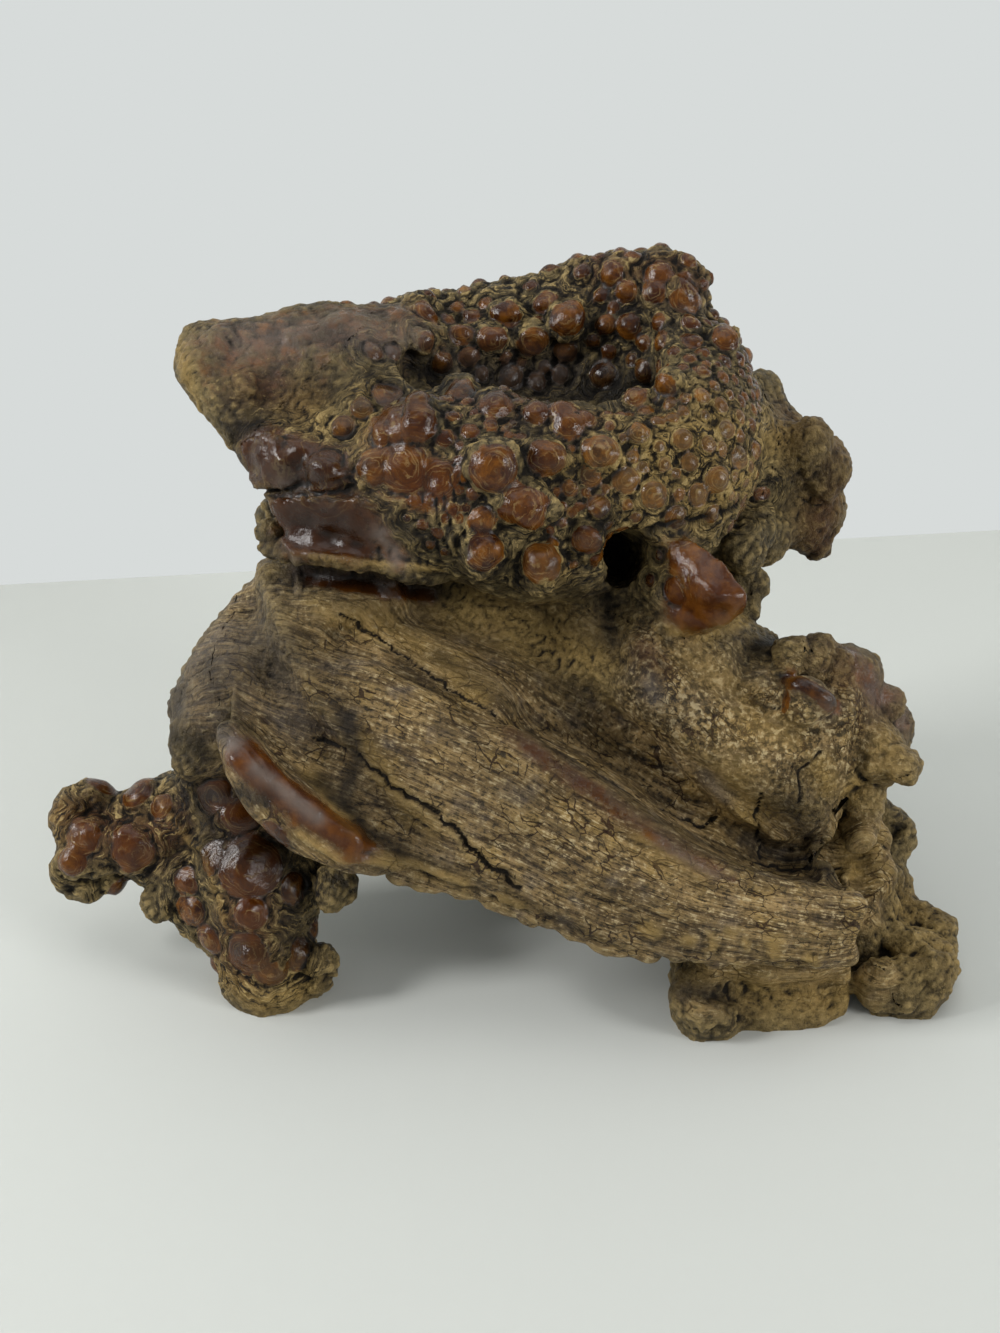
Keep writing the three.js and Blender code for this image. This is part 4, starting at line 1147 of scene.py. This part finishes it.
def old_burl_wood(name):
    """Mixes bark, bead and bare wood by the numbers kept on the skin."""
    material = bpy.data.materials.new(name)
    material.use_nodes = True
    tree = material.node_tree
    tree.nodes.clear()
    spot = {key: add(tree, "ShaderNodeAttribute", attribute_name=key).outputs["Fac"]
            for key in KEPT_NUMBERS}
    grain_at = add(tree, "ShaderNodeAttribute", attribute_name="grain").outputs["Vector"]
    metres = add(tree, "ShaderNodeTexCoord").outputs["Object"]
    place = add(tree, "ShaderNodeVectorMath", {0: metres, "Scale": 1 / MM},
                operation="SCALE").outputs[0]

    # Clouds of three sizes.
    speckle, patch, cloud = (
        add(tree, "ShaderNodeTexNoise",
            {"Vector": place, "Scale": 1 / size, "Detail": 5.0, "Roughness": 0.62}).outputs["Fac"]
        for size in (SPECKLE, PATCH, CLOUD))

    # Strands that run round each bead: a pattern that changes fast with the distance from the bead
    # and slowly in every other direction.
    bent = add(tree, "ShaderNodeMath", {0: patch, 1: 3.5, 2: spot["ring"]}, operation="MULTIPLY_ADD")
    round_bead = add(tree, "ShaderNodeMath", {0: bent.outputs[0], 1: 1 / STRAND_WIDTH},
                     operation="MULTIPLY")
    slow = add(tree, "ShaderNodeVectorMath", {0: place, "Scale": 1 / STRAND_LENGTH}, operation="SCALE")
    strand_inputs = {"Vector": slow.outputs[0], "W": round_bead.outputs[0], "Scale": 1.0, "Detail": 2.0}
    strand = add(tree, "ShaderNodeTexNoise", strand_inputs, noise_dimensions="4D").outputs["Fac"]
    # Far from any bead the strands give way to a softer speckle.
    soft = add(tree, "ShaderNodeMath", {0: speckle, 1: 0.6, 2: 0.2}, operation="MULTIPLY_ADD").outputs[0]
    far = add(tree, "ShaderNodeMapRange", {"Value": spot["ring"], "From Min": 3.0, "From Max": 8.0,
                                           "To Max": 0.85}).outputs[0]
    fibre = add(tree, "ShaderNodeMix", {0: far, 2: strand, 3: soft}, data_type="FLOAT").outputs[0]

    # In golden places the strands stand out more.
    contrast = add(tree, "ShaderNodeMath", {0: spot["gold_and_light"], 1: 0.4, 2: 1.0},
                   operation="MULTIPLY_ADD").outputs[0]
    fibre = add(tree, "ShaderNodeMath", {0: fibre, 1: 0.5}, operation="SUBTRACT").outputs[0]
    fibre = add(tree, "ShaderNodeMath", {0: fibre, 1: contrast, 2: 0.5},
                operation="MULTIPLY_ADD").outputs[0]

    # Streaks and broad bands along the grain.
    along = []
    for length, width in ((STREAK_LENGTH, STREAK_WIDTH), (BAND_LENGTH, BAND_WIDTH),
                          (FIBRE_LENGTH, FIBRE_WIDTH)):
        stretched = add(tree, "ShaderNodeVectorMath", {0: grain_at, 1: (1 / length, 1 / width, 0.0)},
                        operation="MULTIPLY")
        inputs = {"Vector": stretched.outputs[0], "Scale": 1.0, "Detail": 5.0, "Roughness": 0.66}
        along.append(add(tree, "ShaderNodeTexNoise", inputs).outputs["Fac"])
    streak, band, fine_streak = along

    # The knob has no grain, so clouds take the streaks' place there. Half of the fine pattern is
    # speckle on the saddle, and all of it on the knob.
    grained = add(tree, "ShaderNodeMix", {0: spot["crazed"], 2: streak, 3: patch},
                  data_type="FLOAT").outputs[0]
    fine = add(tree, "ShaderNodeMath", {0: spot["crazed"], 1: 0.5, 2: 0.5},
               operation="MULTIPLY_ADD").outputs[0]
    fine = add(tree, "ShaderNodeMix", {0: fine, 2: fine_streak, 3: speckle},
               data_type="FLOAT").outputs[0]

    # Splits follow the edges of cells: long cells along the grain, and round ones on the knob. A
    # cloud bends them, and another makes them thick, thin or missing.
    warp = add(tree, "ShaderNodeTexNoise",
               {"Vector": place, "Scale": 1 / PATCH, "Detail": 4.0}).outputs["Color"]
    splits = []
    for start, bend, size, strength in (
            (grain_at, (5.0, 2.0, 0.0), (1 / CHECK_LENGTH, 1 / CHECK_WIDTH, 0.0), spot["bare"]),
            (place, (9.0, 9.0, 9.0), (1 / CRAZE, 1 / CRAZE, 1 / CRAZE), spot["crazed"])):
        bent = add(tree, "ShaderNodeVectorMath", {0: warp, 1: bend, 2: start}, operation="MULTIPLY_ADD")
        cells = add(tree, "ShaderNodeVectorMath", {0: bent.outputs[0], 1: size}, operation="MULTIPLY")
        edge = add(tree, "ShaderNodeTexVoronoi", {"Vector": cells.outputs[0], "Scale": 1.0},
                   feature="DISTANCE_TO_EDGE").outputs["Distance"]
        uneven = add(tree, "ShaderNodeMath", {0: cloud, 1: -0.3, 2: edge},
                     operation="MULTIPLY_ADD").outputs[0]
        dark_line = add(tree, "ShaderNodeMapRange",
                        {"Value": uneven, "From Min": -0.155, "From Max": -0.137,
                         "To Min": 0.85, "To Max": 0.0}).outputs[0]
        splits.append(add(tree, "ShaderNodeMath", {0: dark_line, 1: strength},
                          operation="MULTIPLY").outputs[0])
    split = add(tree, "ShaderNodeMath", dict(enumerate(splits)), operation="MAXIMUM").outputs[0]

    # How much of each colour. Each row: value, from, to, most.
    shares = {
        "khaki": (cloud, 0.38, 0.62, 1.0),
        "straw": (fibre, 0.55, 0.68, 0.9),
        "soot": (fibre, 0.49, 0.37, 0.9),
        "tan": (grained, 0.36, 0.62, 1.0),
        "band": (band, 0.46, 0.66, 0.8),
        "ochre": (cloud, 0.52, 0.66, 0.6),
        "ash": (cloud, 0.46, 0.34, 0.45),
        "pore": (fine, 0.485, 0.41, 0.95),
        "pale": (fine, 0.53, 0.61, 0.9),
        "amber": (patch, 0.42, 0.66, 0.9),
        # The next three rows work from the skin's hollows: the first two paint shade into creases and
        # recesses, and the third lightens the crests, partly wear and partly painted highlight.
        "crease_shade": (spot["fine_hollow"], 0.02, 0.24, 0.95),
        "deep": (spot["broad_hollow"], 0.5, 3.4, 0.55),
        "crest_wear_and_highlight": (spot["fine_hollow"], -0.03, -0.3, 0.6),
    }
    share = {key: add(tree, "ShaderNodeMapRange", {"Value": value, "From Min": low, "From Max": high,
                                                   "To Max": most}).outputs[0]
             for key, (value, low, high, most) in shares.items()}
    # Strokes of colour. The dark strokes are partly painted shade, and some golden and grey ones are
    # painted highlights.
    stain_shade_and_highlight = {key: add(tree, "ShaderNodeMath", {0: spot[key], 1: part}, operation="MULTIPLY").outputs[0]
             for key, part in (("gold_and_light", 0.75), ("red", 0.85), ("dark", 0.92), ("grey_and_highlight", 0.8))}
    # The polish ends in a ragged line.
    ragged = add(tree, "ShaderNodeMath", {0: patch, 1: 0.9, 2: spot["polish"]},
                 operation="MULTIPLY_ADD").outputs[0]
    ragged = add(tree, "ShaderNodeMath", {0: spot["gold_and_light"], 1: -0.1, 2: ragged},
                 operation="MULTIPLY_ADD").outputs[0]
    polish = add(tree, "ShaderNodeMapRange",
                 {"Value": ragged, "From Min": 0.62, "From Max": 1.0}).outputs[0]
    # Golden places tint the bark more than the beads in it.
    dull = add(tree, "ShaderNodeMath", {0: polish, 1: -0.75, 2: 1.0},
               operation="MULTIPLY_ADD").outputs[0]
    stain_shade_and_highlight["gold_and_light"] = add(tree, "ShaderNodeMath", {0: stain_shade_and_highlight["gold_and_light"], 1: dull},
                        operation="MULTIPLY").outputs[0]
    tone = add(tree, "ShaderNodeMath", {0: spot["tone"], 1: 0.6}, operation="MULTIPLY").outputs[0]
    not_bare = add(tree, "ShaderNodeMath", {0: 1.0, 1: spot["bare"]}, operation="SUBTRACT").outputs[0]
    # Strands show about a quarter as much on a polished bead as in the bark.
    strand_room = add(tree, "ShaderNodeMath", {0: polish, 1: -0.72, 2: not_bare}, operation="MULTIPLY_ADD",
                      use_clamp=True).outputs[0]
    pale_strand, dark_strand = (
        add(tree, "ShaderNodeMath", {0: share[key], 1: strand_room}, operation="MULTIPLY").outputs[0]
        for key in ("straw", "soot"))

    # Each row lays a colour over the one before it.
    bark, bare, bead = (
        add(tree, "ShaderNodeMix", {0: share[key], MIX_A: low, MIX_B: high},
            data_type="RGBA").outputs[MIXED]
        for key, low, high in (("khaki", OLIVE, KHAKI), ("tan", UMBER, TAN), ("amber", OXBLOOD, AMBER)))
    bead = add(tree, "ShaderNodeMix", {0: tone, MIX_A: bead, MIX_B: MAHOGANY},
               data_type="RGBA").outputs[MIXED]
    for key, over in (("band", UMBER), ("ochre", OCHRE), ("ash", ASH), ("pale", BLEACHED),
                      ("pore", OLIVE)):
        bare = add(tree, "ShaderNodeMix", {0: share[key], MIX_A: bare, MIX_B: over},
                   data_type="RGBA").outputs[MIXED]
    mixed = add(tree, "ShaderNodeMix", {0: spot["bare"], MIX_A: bark, MIX_B: bare},
                data_type="RGBA").outputs[MIXED]
    # Painted shade: the skin's creases and recesses darken to near black, and so do the cracks.
    shade_and_cracks = share["crease_shade"]
    for other in (share["deep"], spot["crack"]):
        shade_and_cracks = add(tree, "ShaderNodeMath", {0: shade_and_cracks, 1: other}, operation="MAXIMUM").outputs[0]
    overlays = ((share["crest_wear_and_highlight"], STRAW), (split, OXBLOOD), (polish, bead), (stain_shade_and_highlight["gold_and_light"], OCHRE),
                (stain_shade_and_highlight["red"], MAHOGANY), (pale_strand, STRAW), (dark_strand, SOOT_AND_SHADE),
                (stain_shade_and_highlight["grey_and_highlight"], ASH), (stain_shade_and_highlight["dark"], SOOT_AND_SHADE), (shade_and_cracks, SOOT_AND_SHADE))
    for amount, over in overlays:
        mixed = add(tree, "ShaderNodeMix", {0: amount, MIX_A: mixed, MIX_B: over},
                    data_type="RGBA").outputs[MIXED]

    # Low relief that is finer than the skin's net: strands, speckle, streaks and splits.
    coarse = add(tree, "ShaderNodeMapRange", {"Value": polish, "To Min": 1.0, "To Max": 0.2}).outputs[0]
    strands, streaks, fibres = (
        add(tree, "ShaderNodeMath", {0: pattern, 1: where}, operation="MULTIPLY").outputs[0]
        for pattern, where in ((fibre, not_bare), (grained, spot["bare"]), (fine, spot["bare"])))
    relief = strands
    for amount, part in ((speckle, 0.6), (streaks, 1.0), (fibres, 0.8), (split, -0.8)):
        relief = add(tree, "ShaderNodeMath", {0: amount, 1: part, 2: relief},
                     operation="MULTIPLY_ADD").outputs[0]
    bump = add(tree, "ShaderNodeBump",
               {"Height": relief, "Strength": coarse, "Distance": BUMP_HEIGHT * MM})

    # Bare wood and bark are matt, and handling has polished the beads.
    rough = add(tree, "ShaderNodeMapRange", {"Value": polish, "To Min": 0.5, "To Max": 0.17}).outputs[0]
    rough = add(tree, "ShaderNodeMath", {0: shade_and_cracks, 1: 0.3, 2: rough},
                operation="MULTIPLY_ADD").outputs[0]
    shine = add(tree, "ShaderNodeMapRange", {"Value": polish, "To Min": 0.2, "To Max": 0.3}).outputs[0]
    wood = add(tree, "ShaderNodeBsdfPrincipled",
               {"Base Color": mixed, "Roughness": rough, "Normal": bump.outputs[0], "IOR": 1.5,
                "Specular IOR Level": shine})
    add(tree, "ShaderNodeOutputMaterial", {"Surface": wood.outputs[0]})
    return material


materials = {slot: old_burl_wood(slot) for slot in ("burl_wood", "root_wood")}
print("materials:", list(materials))

# %% The pieces, each with its numbers and its cap
def capped(mesh):
    """Closes each open edge loop of a mesh with a flat cap."""
    work = bmesh.new()
    work.from_mesh(mesh)
    bmesh.ops.holes_fill(work, edges=[edge for edge in work.edges if edge.is_boundary], sides=0)
    work.to_mesh(mesh)
    work.free()


def piece(name):
    """The faces of one piece, with the skin's numbers and outward directions on its points."""
    chosen = faces[owner == name]
    used = np.unique(chosen)
    number = np.zeros(len(skin), int)
    number[used] = np.arange(len(used))
    mesh = put_mesh(name, skin[used], number[chosen])
    for key, values in KEPT_NUMBERS.items():
        kept = mesh.attributes.new(key, "FLOAT", "POINT")
        kept.data.foreach_set("value", values[used].astype(np.float32))
    flow_place = mesh.attributes.new("grain", "FLOAT_VECTOR", "POINT")
    flow_place.data.foreach_set("vector", grain[used].astype(np.float32).ravel())
    capped(mesh)
    mesh.shade_smooth()
    mesh.normals_split_custom_set_from_vertices(normal[used])
    made = bpy.data.objects.new(name + "_skin", mesh)
    bpy.context.scene.collection.objects.link(made)
    slot = "burl_wood" if name in BURL_PIECES else "root_wood"
    mesh.materials.append(materials[slot])
    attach(made, "root")
    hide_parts(name)
    return made


pieces = [piece(name) for name in PIECES]
print("pieces:", len(pieces))

# %% [markdown]
# ## Table, wall, light and camera
#
# The root stands on a pale table before a pale wall. Soft light comes from a lamp at each side and
# one above, so the polished beads show small bright spots and the shadows have no edge.

# %% Table and wall
def plain(name, sheet):
    """A matt painted surface of one colour."""
    material = bpy.data.materials.new(name)
    material.use_nodes = True
    shader = material.node_tree.nodes["Principled BSDF"]
    shader.inputs["Base Color"].default_value = colour(sheet)
    shader.inputs["Roughness"].default_value = 0.8
    return material


# Two places in mm on the table's back edge, where the photograph shows it.
TABLE_EDGE = np.array([[-193.9, 197.5, 0], [202.3, 249.7, 0]])
TABLE_FRONT = np.array([[1200, -1100, 0], [-1200, -1100, 0]])
WALL_HEIGHT = np.array([0, 0, 2500])
beyond_edge = 2.5 * (TABLE_EDGE[1] - TABLE_EDGE[0])
left_end, right_end = TABLE_EDGE[0] - beyond_edge, TABLE_EDGE[1] + beyond_edge
table_corners = np.array([left_end, right_end, *TABLE_FRONT])
wall_corners = np.array([left_end, right_end, right_end + WALL_HEIGHT, left_end + WALL_HEIGHT])
for name, corners, sheet in (("table", table_corners, "#c2c4bf"), ("wall", wall_corners, "#e4e7e6")):
    flat = bpy.data.objects.new(name, put_mesh(name, corners, np.array([[0, 1, 2, 3]])))
    flat.data.materials.append(plain(name + "_paint", sheet))
    flat.visible_camera = name == "table"  # the wall lights the root, and doesn't hide its back
    bpy.context.scene.collection.objects.link(flat)

# %% Light
LIT_PLACE = Vector((0, 0, 0.08))  # metres; the root's middle
ROOM_LIGHT = 0.42


def lamp(name, place, size, power):
    """A square soft lamp at a place in metres, aimed at the root. Size in metres, power in watts."""
    light = bpy.data.lights.new(name, "AREA")
    light.size = size
    light.energy = power
    made = bpy.data.objects.new(name, light)
    made.location = place
    made.rotation_euler = (LIT_PLACE - Vector(place)).to_track_quat("-Z", "Y").to_euler()
    bpy.context.scene.collection.objects.link(made)


lamp("left_window", (-1.2, -0.35, 0.8), 0.36, 15)
lamp("right_window", (1.2, -0.75, 0.5), 0.45, 11)
lamp("ceiling", (0.0, 0.05, 1.5), 1.2, 7)
world = bpy.data.worlds.new("room")
world.use_nodes = True
room = world.node_tree
light = room.nodes["Background"]
light.inputs["Color"].default_value = colour("#eef2f2")
light.inputs["Strength"].default_value = ROOM_LIGHT
# What looks straight past the table sees the wall's own tone, whichever side it looks from.
wall_tone = add(room, "ShaderNodeBackground", {"Color": colour("#d7dbda")}).outputs[0]
straight = add(room, "ShaderNodeLightPath").outputs["Is Camera Ray"]
either = add(room, "ShaderNodeMixShader", {0: straight, 1: light.outputs[0], 2: wall_tone})
room.links.new(either.outputs[0], room.nodes["World Output"].inputs[0])
bpy.context.scene.world = world

# %% Camera
camera = bpy.data.objects.new("camera", bpy.data.cameras.new("camera"))
camera.location = LENS * MM
camera.rotation_euler = (math.pi / 2 - PITCH, 0, 0)
camera.data.sensor_width = 36.0  # mm
camera.data.lens = FOCAL / PHOTO_HEIGHT * camera.data.sensor_width
camera.data.clip_start = 10 * MM
bpy.context.scene.collection.objects.link(camera)
bpy.context.scene.camera = camera
bpy.context.scene.view_settings.view_transform = "Standard"
print("lens in mm:", round(camera.data.lens, 1))
